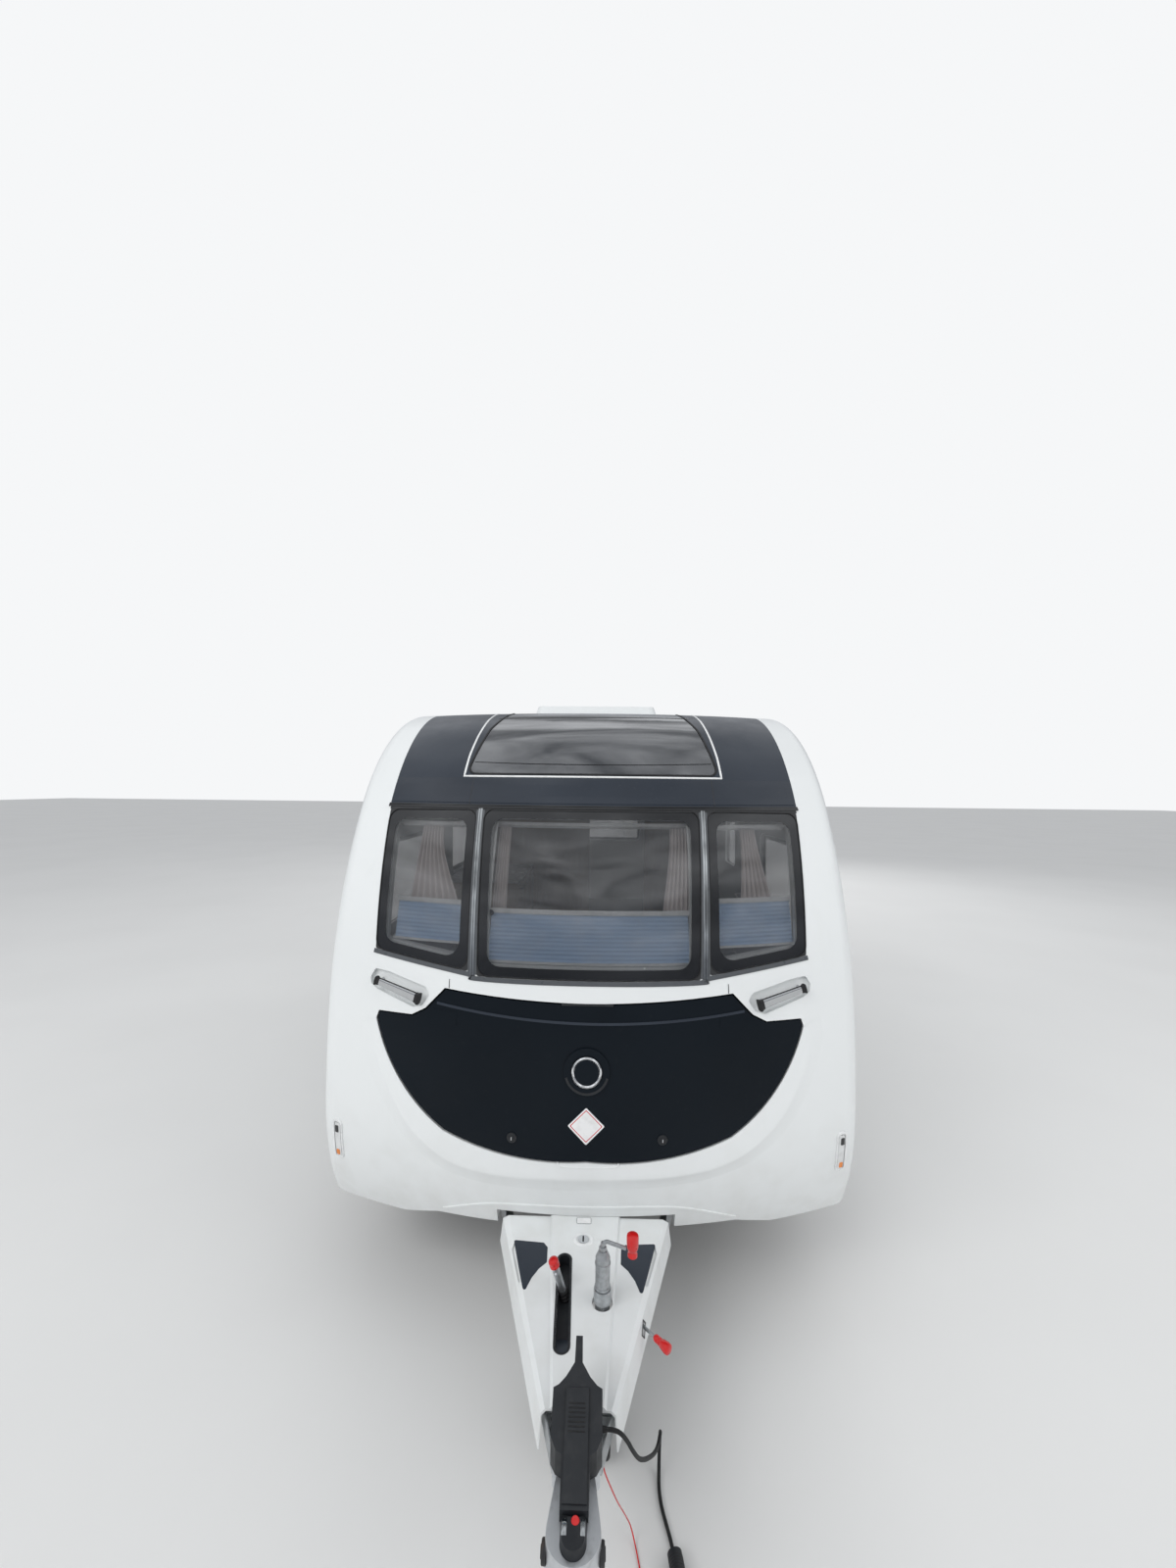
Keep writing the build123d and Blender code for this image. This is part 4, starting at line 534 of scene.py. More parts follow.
def front_profile():
    """Centre y, centre z, radius and top height of each arc of the side profile at the middle."""
    chest_y = FRONT_Y + CHEST_R
    window_y = chest_y - (CHEST_R - WINDOW_R) * math.cos(CHEST_TURN)
    window_z = CHEST_Z + (CHEST_R - WINDOW_R) * math.sin(CHEST_TURN)
    rise = HEIGHT - window_z - WINDOW_R * math.sin(WINDOW_TURN)
    top_r = rise / (1 - math.sin(WINDOW_TURN))
    top_y = window_y - (WINDOW_R - top_r) * math.cos(WINDOW_TURN)
    top_z = window_z + (WINDOW_R - top_r) * math.sin(WINDOW_TURN)
    return [
        (FRONT_Y + CHEST_LOW_R, CHEST_Z, CHEST_LOW_R, CHEST_Z),
        (chest_y, CHEST_Z, CHEST_R, CHEST_Z + CHEST_R * math.sin(CHEST_TURN)),
        (window_y, window_z, WINDOW_R, window_z + WINDOW_R * math.sin(WINDOW_TURN)),
        (top_y, top_z, top_r, HEIGHT + 1),
    ]


PROFILE = front_profile()


def on_front(x, z, lift=0.0):
    """A point on the front surface, or proud of it, and the outward direction there."""
    for cy, cz, r, top in PROFILE:
        if z <= top:
            break
    rise = max(-r * 0.9999, min(r * 0.9999, z - cz))
    root = math.sqrt(r * r - rise * rise)
    point = Vector((x, cy - root + BOW * (x / HALF) ** 2, z))
    normal = Vector((2 * BOW * x / HALF**2, -1, rise / root)).normalized()
    return point + normal * lift, normal


def laid(surface, line, lift=0.0):
    """A line's points on a surface, or proud of it."""
    return [surface(*p, lift)[0] for p in line]


def front_strip(name, line, width, height, finish, closed=False, sink=0.004, body="caravan", ridge=False):
    """A bar of trim that follows a line on the front surface."""
    half, soft = width / 2, min(width, height) * 0.3
    section = [(-half, -sink), (-half, height - soft), (-half + soft, height)]
    if ridge:
        section += [(-half * 0.12, height), (0, height * 0.35), (half * 0.12, height)]
    section += [(half - soft, height), (half, height - soft), (half, -sink)]
    rings = []
    count = len(line)
    for i, (x, z) in enumerate(line):
        before = line[i - 1] if i or closed else line[0]
        after = line[(i + 1) % count] if i < count - 1 or closed else line[-1]
        point, normal = on_front(x, z)
        way = (on_front(*after)[0] - on_front(*before)[0]).normalized()
        side = normal.cross(way).normalized()
        rings.append([point + side * a + normal * b for a, b in section])
    if closed:
        rings.append(rings[0])
    return piece(name, loft_rings(rings, cap=not closed), finish, body)


def border_on(surface, name, window, low, high):
    """A glossy black border inside the outline of a flat window."""
    rim, inner = grown(window, -0.002), grown(window, -0.036)
    loops = [laid(surface, line, lift) for line, lift in ((rim, low), (rim, high), (inner, high), (inner, low))]
    piece(name, loft_rings(loops, cap=False), black_gloss)


def patch(surface, name, outline, lift, finish, rings, edge, hole=None, body="caravan", dome=0.0):
    """A thin sheet on a surface inside an outline, or between an outline and a hole in it."""
    if hole is None:
        middle = Vector((sum(p[0] for p in outline), sum(p[1] for p in outline))) / len(outline)
        hole = [middle] * len(outline)
    loops = [laid(surface, outline, lift - edge)]
    for i in range(rings + 1):
        t = i / rings
        line = [between(a, b, t) for a, b in zip(outline, hole)]
        loops.append(laid(surface, line, lift + dome * math.sin(math.pi / 2 * min(1, t * 1.6))))
    return piece(name, loft_rings(loops, cap=False), finish, body)


def ring_on(surface, name, outline, width, height, finish, body="caravan", sink=0.001):
    """A raised lip that follows a closed outline on a surface."""
    soft = min(width, height) * 0.4
    section = ((0, -sink), (0, height - soft), (soft, height), (width - soft, height),
               (width, height - soft), (width, -sink), (0, -sink))
    rings = [laid(surface, grown(outline, grow), lift) for grow, lift in section]
    return piece(name, loft_rings(rings, cap=False), finish, body)


def bar_on(surface, name, line, width, height, finish):
    """A bar of trim along an open line on a flat surface."""
    soft = min(width, height) * 0.35
    section = ((-1, -0.001), (-1, height - soft), (-0.72, height), (0.72, height), (1, height - soft), (1, -0.001))
    rings = []
    for i, p in enumerate(line):
        way = (Vector(line[min(len(line) - 1, i + 1)]) - Vector(line[max(0, i - 1)])).normalized()
        across = Vector((way.y, -way.x)) * width / 2
        rings.append([surface(*(Vector(p) + across * share), lift)[0] for share, lift in section])
    return piece(name, loft_rings(rings), finish)


# Camera: in front of the coupling, 2.2 m up and close, looking level at the front

CAMERA_AT = Vector((0.05, -4.78, 2.20))
CAMERA_YAW = math.radians(1.45)
CAMERA_ROLL = math.radians(0.6)
LENS = 13.5
SENSOR_WIDTH = 36
WORLD_LIGHT = 0.66
SKY_WHITE = (0.95, 0.97, 1.0, 1)


def add_camera():
    """The camera at the photo's place, turned and rolled as the photo is."""
    camera = new_object("camera", bpy.data.cameras.new("camera"))
    camera.data.sensor_width = SENSOR_WIDTH
    camera.data.lens = LENS
    forward = Vector((-math.sin(CAMERA_YAW), math.cos(CAMERA_YAW), 0))
    level_right = Vector((math.cos(CAMERA_YAW), math.sin(CAMERA_YAW), 0))
    up = Vector((0, 0, 1))
    right = level_right * math.cos(CAMERA_ROLL) + up * math.sin(CAMERA_ROLL)
    tilted_up = up * math.cos(CAMERA_ROLL) - level_right * math.sin(CAMERA_ROLL)
    turn = Matrix((right, tilted_up, -forward)).transposed()
    camera.matrix_world = Matrix.Translation(CAMERA_AT) @ turn.to_4x4()
    bpy.context.scene.camera = camera
    bpy.context.scene.view_settings.view_transform = "Standard"


def add_light(name, place, target, size, power):
    """A white area lamp, turned to its target and unseen in mirrored light."""
    lamp = bpy.data.lights.new(name, "AREA")
    lamp.shape = "RECTANGLE"
    lamp.size, lamp.size_y = size
    lamp.energy = power
    obj = new_object(name, lamp)
    obj.location = place
    obj.rotation_euler = (Vector(target) - Vector(place)).to_track_quat("-Z", "Y").to_euler()
    obj.visible_glossy = False


def add_world():
    """Soft even light; the backdrop is pale, and mirrored it is softly clouded and darker low down."""
    world = bpy.data.worlds.new("studio")
    bpy.context.scene.world = world
    world.use_nodes = True
    tree = world.node_tree
    light = tree.nodes["Background"]
    light.inputs["Color"].default_value = SKY_WHITE
    light.inputs["Strength"].default_value = WORLD_LIGHT
    seen = shader_node(tree, "Background", {"Color": (0.92, 0.93, 0.94, 1)})

    way = shader_node(tree, "TexCoord").outputs["Generated"]
    rise = shader_node(tree, "ValToRGB", {"Fac": shader_node(tree, "SeparateXYZ", {0: way}).outputs["Z"]})
    ramp = rise.color_ramp.elements
    ramp[0].position, ramp[0].color = 0.0, (0.16, 0.17, 0.19, 1)
    ramp[1].position, ramp[1].color = 0.62, SKY_WHITE
    ramp.new(0.22).color = (0.42, 0.44, 0.48, 1)
    stretch = shader_node(tree, "Mapping", {"Scale": (1.0, 1.0, 3.2), "Vector": way}).outputs["Vector"]
    clouds = shader_node(tree, "TexNoise", {"Scale": 2.4, "Detail": 5.0, "Distortion": 0.6, "Vector": stretch})
    depth = shader_node(tree, "MapRange", {0: clouds.outputs["Fac"], 1: 0.36, 2: 0.66, 3: 0.38, 4: 1.25})
    mirrored_sky = shader_node(tree, "Background", {"Color": rise.outputs["Color"], "Strength": depth.outputs[0]})

    path = shader_node(tree, "LightPath").outputs
    either = shader_node(tree, "Math", {0: path["Is Camera Ray"], 1: path["Is Transmission Ray"]})
    either.operation = "MAXIMUM"
    first = shader_node(tree, "MixShader", {"Fac": either.outputs[0], 1: light.outputs[0], 2: seen.outputs[0]})
    sockets = {"Fac": path["Is Glossy Ray"], 1: first.outputs[0], 2: mirrored_sky.outputs[0]}
    second = shader_node(tree, "MixShader", sockets)
    tree.links.new(second.outputs[0], tree.nodes["World Output"].inputs["Surface"])


def add_studio():
    """The pale floor, the world's light and three lamps."""
    finish = Finish("studio_floor", (0.78, 0.78, 0.77), 0.85)
    finish.tint(finish.range(finish.noise(0.6, 6), 0.4, 0.7), (0.74, 0.74, 0.73), 0.5)
    finish.bump(finish.noise(120, 3), 0.05)
    reach = 60
    mesh = bpy.data.meshes.new("studio_floor")
    corners = [(-reach, -reach, 0), (reach, -reach, 0), (reach, reach, 0), (-reach, reach, 0)]
    mesh.from_pydata(corners, [], [(0, 1, 2, 3)])
    mesh.materials.append(finish.material)
    new_object("studio_floor", mesh)

    add_world()
    add_light("key", (-6, -9, 8), (0, -1, 1.2), (7, 5), 500)
    add_light("fill", (8, -6, 5), (0, -1, 1.0), (6, 5), 170)
    add_light("rear", (3, 11, 7), (0, 2, 1.2), (7, 4), 330)


# Cords: the points are the frame's own routes

CABLE_R = 0.0055
CABLE_POINTS = [
    (0.0808, -3.196, 0.4635), (0.106, -3.196, 0.4635), (0.131, -3.194, 0.438), (0.150, -3.184, 0.394),
    (0.168, -3.158, 0.343), (0.188, -3.115, 0.293), (0.207, -3.062, 0.240), (0.226, -3.008, 0.190),
    (0.243, -2.952, 0.152), (0.255, -2.900, 0.136), (0.258, -2.863, 0.099), (0.256, -2.863, 0.047),
    (0.251, -2.900, 0.008), (0.247, -2.945, 0.0065), (0.251, -2.990, 0.0065), (0.262, -3.035, 0.0065),
    (0.272, -3.075, 0.0065), (0.276, -3.108, 0.0065),
]
RED_R = 0.002
RED_POINTS = [
    (0.070, -3.200, 0.3895), (0.070, -3.200, 0.364), (0.082, -3.191, 0.322), (0.096, -3.172, 0.270),
    (0.112, -3.145, 0.205), (0.128, -3.110, 0.140), (0.142, -3.078, 0.080), (0.154, -3.058, 0.034),
    (0.164, -3.070, 0.006), (0.172, -3.105, 0.003), (0.180, -3.150, 0.003), (0.186, -3.190, 0.003),
]


def cord_curve(name, points, radius, slot, node):
    """A cord on one smooth line, in the place of its CAD solid."""
    curve = bpy.data.curves.new(name, "CURVE")
    curve.dimensions = "3D"
    curve.bevel_depth = radius
    curve.bevel_resolution = 4
    curve.use_fill_caps = True
    spline = curve.splines.new("NURBS")
    spline.points.add(len(points) - 1)
    for spot, p in zip(spline.points, points):
        spot.co = (*p, 1)
    spline.order_u = 3
    spline.use_endpoint_u = True
    spline.resolution_u = 12
    curve.materials.append(M[slot])
    obj = new_object(name, curve)
    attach(obj, "caravan")
    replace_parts(obj, node)
    return obj


def add_cords():
    """The towing cable and the breakaway line, in the place of their CAD solids."""
    cable = cord_curve("towing_cable", CABLE_POINTS, CABLE_R, "rubber", "car_cable")
    red = cord_curve("breakaway_line", RED_POINTS, RED_R, "red_plastic", "breakaway_cable")


# Front trims


def add_skylight_trim():
    """The white line round the skylight, and its rubber seal."""
    edge = [(0.560, 2.600), (0.573, 2.541), (0.586, 2.433), (0.596, 2.330), (0.598, 2.231)]
    smooth = [p for a, b in zip(edge, edge[1:]) for p in straight(a, b, 6)[:-1]]
    line = smooth + straight((0.598, 2.231), (-0.598, 2.231), 40) + mirrored(smooth)
    front_strip("skylight_trim", line, 0.010, 0.003, trim_white)
    seal = rounded_outline(SKYLIGHT + mirrored(SKYLIGHT), 0.035, 6, 8)
    shown = [p for p in seal if p[1] < 2.606]
    front_strip("skylight_rubber", rotate_to_gap(shown), 0.010, 0.0035, "rubber")


def rotate_to_gap(points):
    """Starts an open line after its longest jump."""
    jumps = [(Vector(p) - Vector(points[i - 1])).length for i, p in enumerate(points)]
    start = jumps.index(max(jumps))
    return points[start:] + points[:start]


def add_upper_band():
    """The glossier band over the windows, its seams and the double rail."""
    top, low, half = 2.222, 2.112, 0.935
    outline = box_outline(-half, low, 2 * half, top - low, 0.006, 3, 40)
    inner = box_outline(-half + 0.03, low + 0.03, 2 * half - 0.06, top - low - 0.06, 0.002, 3, 40)
    patch(on_front, "upper_band_rim", outline, 0.0016, band_gloss, 3, 0.003, hole=inner)
    rows = []
    for z in (low + 0.029, top - 0.029):
        rows.append(laid(on_front, straight((-half + 0.029, z), (half - 0.029, z), 48), 0.0016))
    piece("upper_band", loft_rings(rows, closed=False, cap=False), band_gloss)
    for side in (-1, 1):
        line = straight((side * 0.548, 2.10), (side * 0.548, 2.22), 6)
        front_strip(f"upper_seam_{side + 1}", line, 0.003, 0.0022, seam_dark)
    rail = straight((-0.944, 2.0945), (0.944, 2.0945), 60)
    front_strip("window_rail", rail, 0.019, 0.007, black_gloss, ridge=True)


def pane_edge(outline, amount, radius):
    """A pane's outline moved outward by an amount, with rounded corners."""
    return rounded_outline(grown(outline, amount), radius, 8, 14)


def add_window_trims():
    """Pillar strips, the panes' borders, corners and gaskets, and the lines over and under the panes."""
    for side in (-1, 1):
        line = straight((side * 0.490, 2.084), (side * 0.4595, 1.440), 20)
        front_strip(f"pillar_bed_{side + 1}", line, 0.0375, 0.0022, trim_grey)
        front_strip(f"pillar_strip_{side + 1}", line, 0.019, 0.006, pillar_metal, ridge=True)
    for name, outline in (("centre", CENTRE_PANE), ("right", SIDE_PANE), ("left", mirrored(SIDE_PANE))):
        patch(on_front, f"pane_border_{name}", pane_edge(outline, -0.0015, 0.041), 0.0006 - PANE_DEPTH, black_gloss,
              3, 0.0006, hole=pane_edge(outline, -0.036, 0.055))
        patch(on_front, f"pane_corners_{name}", pane_edge(outline, 0.0035, 0.008), 0.0012, seam_dark,
              2, 0.0014, hole=pane_edge(outline, 0.0030, 0.044))
        front_strip(f"pane_gasket_{name}", pane_edge(outline, 0.0018, 0.044), 0.0045, 0.0035, "rubber", closed=True)
    head = [(0.0, 2.0860), (0.470, 2.0860), (0.510, 2.0850), (0.935, 2.0820)]
    head = evenly(mirrored(head) + head[1:], 60)
    front_strip("window_head_line", head, 0.0155, 0.0030, seam_dark)
    sill = smooth_line([(0.0, 1.4265), (0.437, 1.4275), (0.484, 1.4430), (0.898, 1.4960)], 14)
    front_strip("window_sill_line", mirrored(sill) + sill[1:], 0.018, 0.0035, trim_grey)


def add_lid_details():
    """The badge's rings and dome, with a lower lip that is partly a painted highlight, the blank diamond, the two
    locks and a painted highlight along the crease near the lid's top.
    """
    body = "gas_lid_body"
    patch(on_front, "badge_surround", ellipse(0, BADGE_Z, 0.088, 0.088, 64), 0.0060 - LID_DEPTH, "lid_black",
          4, 0.008, hole=ellipse(0, BADGE_Z, 0.062, 0.062, 64), body=body, dome=-0.0015)
    # A raised lip on the badge's lower side only, in lighter black plastic: partly shape, partly a painted highlight
    # where the dish's lower rim catches light
    low_side = [math.radians(a) for a in range(195, 346, 5)]
    lip = [(0.081 * math.cos(a), BADGE_Z + 0.081 * math.sin(a)) for a in low_side]
    front_strip("badge_lower_lip_highlight", lip, 0.010, 0.0062 - LID_DEPTH, "black_plastic", sink=0.004, body=body)
    rim = ellipse(0, BADGE_Z, 0.0475, 0.0475, 72)
    ring_on(on_front, "badge_rim", rim, 0.0095, 0.0105, "chrome", body, sink=-0.0050)
    patch(on_front, "badge_dome", rim, 0.0072, "lid_black", 10, 0.0010, body=body, dome=0.0030)
    outlines = []
    for up, side, down, radius in ((0.069, 0.070, 0.071, 0.004), (0.061, 0.062, 0.061, 0.003),
                                   (0.057, 0.058, 0.057, 0.003)):
        corners = [(0, DIAMOND_Z + up), (side, DIAMOND_Z), (0, DIAMOND_Z - down), (-side, DIAMOND_Z)]
        outlines.append(rounded_outline(corners, radius, 3, 8))
    diamond, red, red_in = outlines
    patch(on_front, "blank_diamond", diamond, 0.0012 - LID_DEPTH, bare_white, 4, 0.0012, body=body)
    patch(on_front, "diamond_line", red, 0.0015 - LID_DEPTH, "red_plastic", 1, 0.0002, hole=red_in, body=body)
    lock = [(-0.002, 0.019), (0.003, 0.019), (0.005, 0.017), (0.005, 0.012), (0.008, 0.0105), (0.009, 0.009),
            (0.009, 0.0)]
    for side, x, z in ((-1, -0.284, 0.848), (1, 0.290, 0.853)):
        point, normal = on_front(x, z, -LID_DEPTH)
        piece(f"lid_lock_{side + 1}", turned(point, normal, lock, 28), "black_plastic", body)
        face = point + normal * 0.0085
        low, high = face - Vector((0.0012, 0.0012, 0.006)), face + Vector((0.0012, 0.0008, 0.006))
        piece(f"lid_key_slot_{side + 1}", rounded_box(low, high, 0.0004, 1), "chrome", body)
    # A lighter, almost flush strip: a painted highlight along the crease near the lid's top
    crease = arc_through((-0.600, 1.325), (0.0, 1.282), (0.615, 1.315), 60)
    front_strip("lid_crease_highlight", crease, 0.010, 0.0022 - LID_DEPTH, "dark_panel", sink=0.004, body=body)


def smooth_line(points, steps=8):
    """Points on a smooth line through the given ones."""
    out = []
    count = len(points)
    for i in range(count - 1):
        a, b, c, d = (Vector(points[max(0, min(count - 1, i + k))]) for k in (-1, 0, 1, 2))
        for k in range(steps):
            t = k / steps
            bend = (2 * a - 5 * b + 4 * c - d) * t * t + (3 * b - a - 3 * c + d) * t**3
            out.append(tuple(0.5 * (2 * b + (c - a) * t + bend)))
    return out + [tuple(points[-1])]


# The right half of the lid's lower edge, and the bevel's ridge
LID_LOW_EDGE = (
    arc_through((0.0, 0.772), (0.290, 0.779), (0.555, 0.848), 24)
    + arc_through((0.555, 0.848), (0.735, 1.005), (0.858, 1.238), 24)[1:]
)
BEVEL_RIDGE = [
    (-0.893, 1.226), (-0.864, 1.115), (-0.805, 0.990), (-0.714, 0.858), (-0.609, 0.770), (-0.488, 0.715),
    (-0.292, 0.695), (0.009, 0.700), (0.308, 0.709), (0.498, 0.735), (0.634, 0.792), (0.755, 0.892),
    (0.839, 1.022), (0.889, 1.141), (0.905, 1.253),
]


def add_lid_bevel():
    """The white bevel that runs down both sides of the lid and under it, up to a soft ridge."""
    edge = grown_line(mirrored(LID_LOW_EDGE) + LID_LOW_EDGE[1:], 0.0085)
    count = 112
    inner, outer = evenly(edge, count), evenly(smooth_line(BEVEL_RIDGE, 8), count)
    rings = []
    for i in range(count + 1):
        t = i / count
        rise = 0.0085 * min(1, 6 * t, 6 * (1 - t))
        a, b = Vector(inner[i]), Vector(outer[i])
        way = (b - a).normalized()
        row = [(a, -0.004), (a, 0.0012), (a.lerp(b, 0.33), 0.0012 + 0.28 * rise),
               (a.lerp(b, 0.66), 0.0012 + 0.62 * rise), (b - way * 0.008, 0.0010 + 0.95 * rise),
               (b, 0.0010 + rise), (b + way * 0.006, 0.0008 + 0.86 * rise),
               (b + way * 0.020, 0.0006 + 0.42 * rise), (b + way * 0.040, 0.0003 + 0.1 * rise),
               (b + way * 0.058, -0.0006)]
        rings.append([on_front(*p, lift)[0] for p, lift in row])
    piece("lid_bevel", loft_rings(rings, closed=False, cap=False), "gelcoat", sharp=50)
    notch = smooth_line([(-0.108, 0.763), (-0.084, 0.748), (0.094, 0.748), (0.126, 0.763)], 5)
    front_strip("lid_notch_lip", notch, 0.007, 0.0035, "gelcoat")


def grown_line(points, amount):
    """An open line moved to its right-hand side."""
    out = []
    for i, p in enumerate(points):
        way = Vector(points[min(i + 1, len(points) - 1)]) - Vector(points[max(i - 1, 0)])
        way.normalize()
        out.append((p[0] + way.y * amount, p[1] - way.x * amount))
    return out


def evenly(points, count):
    """The same line in equal steps."""
    lengths = [0.0]
    for a, b in zip(points, points[1:]):
        lengths.append(lengths[-1] + (Vector(b) - Vector(a)).length)
    out, k = [], 0
    for i in range(count + 1):
        want = lengths[-1] * i / count
        while k < len(points) - 2 and lengths[k + 1] < want:
            k += 1
        t = (want - lengths[k]) / (lengths[k + 1] - lengths[k])
        out.append(tuple(Vector(points[k]).lerp(Vector(points[k + 1]), max(0, min(1, t)))))
    return out


def add_front_details():
    """Seams, the apron's crease, the lid's faint patches and the marker lamps' surrounds and lenses."""
    for side in (-1, 1):
        line = straight((side * 0.552, 1.384), (side * 0.552, 1.418), 4)
        front_strip(f"front_seam_{side + 1}", line, 0.0025, 0.0012, seam_dark)
    crease = smooth_line([(-0.574, 0.484), (-0.356, 0.552), (0.010, 0.568), (0.352, 0.559), (0.597, 0.476)], 12)
    front_strip("apron_crease", crease, 0.012, 0.004, "gelcoat", sink=0.003)
    for name, x, z, w, h in (("left", -0.622, 1.242, 0.107, 0.058), ("right", 0.515, 1.255, 0.101, 0.054)):
        outline = box_outline(x, z, w, h, 0.004, 3, 8)
        patch(on_front, f"lid_patch_{name}", outline, 0.0009 - LID_DEPTH, "lid_black", 3, 0.0008, body="gas_lid_body")
    for side in (-1, 1):
        outline = rounded_outline(
            [(side * 1.026, 0.629), (side * 1.055, 0.629), (side * 1.055, 0.785), (side * 1.026, 0.785)], 0.010, 4, 8)
        rim = grown(outline, 0.009)
        patch(on_front, f"marker_surround_{side + 1}", rim, 0.0045, trim_white, 3, 0.006, hole=outline)
        for k, (low, high, finish) in enumerate(((0.640, 0.664, lens_amber), (0.742, 0.772, seam_dark))):
            lens = box_outline(side * 1.038 - 0.008, low, 0.016, high - low, 0.004, 3, 4)
            patch(on_front, f"marker_lens_{side + 1}_{k}", lens, 0.0088, finish, 2, 0.002)


def add_skylight_details():
    """The skylight's crease and what shows through it: the light bar and the two supports."""
    crease = smooth_line([(-0.560, 2.300), (-0.300, 2.292), (0.0, 2.289), (0.300, 2.292), (0.560, 2.300)], 12)
    front_strip("skylight_crease", crease, 0.005, 0.0014, black_gloss, sink=0.002)
    across = [(-0.520 + 1.04 * k / 40, 2.560 - 0.004 * math.cos(math.pi * k / 40)) for k in range(41)]
    front_strip("skylight_top_band", across, 0.020, 0.0012, black_gloss, sink=0.002)
    rings = []
    up = Vector((0, 0, 0.005))
    for x, z in straight((-0.147, 2.378), (-0.038, 2.378), 8):
        point, normal = on_front(x, z, -0.030)
        rings.append([point + up, point + normal * 0.004, point - up, point - normal * 0.004])
    piece("skylight_light_bar", loft_rings(rings), (cupboard_white[0], "lamp_clear"))
    for name, x0, x1 in (("left", -0.458, -0.406), ("right", 0.433, 0.474)):
        point = on_front((x0 + x1) / 2, 2.473, -0.034)[0]
        half = (x1 - x0) / 2
        support = rounded_box(point - Vector((half, 0, 0.012)), point + Vector((half, 0.012, 0.012)), 0.004, 2)
        piece(f"skylight_support_{name}", support, "galvanised")


# How far the handles' ends stand out, and each end's place, thickness and width
HANDLE_OUT = 0.016
HANDLE_ENDS = (((0.868, 1.386), 0.015, 0.026), ((0.676, 1.338), 0.019, 0.036))


def add_handle_ends():
    """The dark flared ends of the two grab handles, and the dark line along their upper edge."""
    for side, tag in SIDES:
        spots = []
        for (x, z), thick, wide in HANDLE_ENDS:
            spots.append((on_front(side * x, z)[0] + Vector((0, -HANDLE_OUT, 0)), thick, wide))
        way = (spots[1][0] - spots[0][0]).normalized()
        out = Vector((0, -1, 0))
        out = (out - way * out.dot(way)).normalized()
        up = way.cross(out)
        up = up if up.z > 0 else -up
        forms = []
        for (centre, thick, wide), outward in zip(spots, (-way, way)):
            rings = []
            for along, grow in ((-0.015, 0.0010), (-0.007, 0.0022), (0.0020, 0.0062), (0.0045, 0.0056), (0.0055, 0.0)):
                ring = []
                for k in range(24):
                    a = 2 * math.pi * k / 24
                    square = 1 / max(abs(math.cos(a)), abs(math.sin(a))) ** 0.6
                    ring.append(
                        centre + outward * along
                        + out * math.cos(a) * square * (thick / 2 + grow)
                        + up * math.sin(a) * square * (wide / 2 + grow)
                    )
                rings.append(ring)
            forms.append(loft_rings(rings))
        (start, _, wide_a), (end, _, wide_b) = spots
        edge = [start + up * (wide_a / 2 + 0.0005) + way * 0.006, end + up * (wide_b / 2 + 0.0005) - way * 0.006]
        forms.append(tube(edge, 0.0024, 8))
        piece(f"grab_handle_ends_{tag}", forms, "rubber")


# A-frame


def on_cover(x, y, lift=0.0):
    """A point on top of the A-frame's cover, and the direction up from it."""
    t = (-2.490 - y) / 0.670
    spine, foot = (0.130 - 0.060 * t, 0.520 - 0.036 * t), (0.140 - 0.060 * t, 0.508 - 0.036 * t)
    flat, side = (0.300 - 0.208 * t, 0.512 - 0.038 * t), (0.322 - 0.218 * t, 0.500 - 0.038 * t)
    a = abs(x)
    slope = 0.0
    if a <= spine[0]:
        z = spine[1]
    elif a <= foot[0]:
        z = max(flat[1], spine[1] + (a - spine[0]) / (foot[0] - spine[0]) * (foot[1] - spine[1]))
    elif a <= flat[0]:
        z = flat[1]
    else:
        slope = (flat[1] - side[1]) / (side[0] - flat[0])
        z = flat[1] - (a - flat[0]) * slope
    normal = Vector((math.copysign(slope, x), 0.056, 1)).normalized()
    return Vector((x, y, z)) + normal * lift, normal


def slot_outline(cx, cy, length, width, angle, count=16):
    """A slot's outline at an angle in degrees."""
    run = length / 2 - width / 2
    points = []
    for end in (1, -1):
        for k in range(count + 1):
            a = math.pi * (k / count - 0.5) + (0 if end > 0 else math.pi)
            points.append((end * run + width / 2 * math.cos(a), width / 2 * math.sin(a)))
    c, s = math.cos(math.radians(angle)), math.sin(math.radians(angle))
    return [(cx + x * c - y * s, cy + x * s + y * c) for x, y in points]


# Outlines and spots on the cover as (x, y), and where the controls stand
COVER_INSET = [
    (0.252, -2.640), (0.262, -2.606), (0.150, -2.614), (0.134, -2.634), (0.131, -2.696), (0.156, -2.722),
    (0.178, -2.760), (0.189, -2.792), (0.196, -2.816), (0.205, -2.795), (0.233, -2.703),
]
COVER_LOCK = (-0.005, -2.605)
LEVER_SLOT = (-0.063, -2.845)
LEVER_FOOT = Vector((-0.050, -2.800, 0.440))
LEVER_WAY = Vector((-0.3, -0.1, 1)).normalized()
CRANK_GRIP = Vector((0.1628, -2.856, 0.658))
CLAMP_FOOT = Vector((0.193, -2.858, 0.440))
CLAMP_WAY = Vector((0.66, -0.75, 0.05)).normalized()


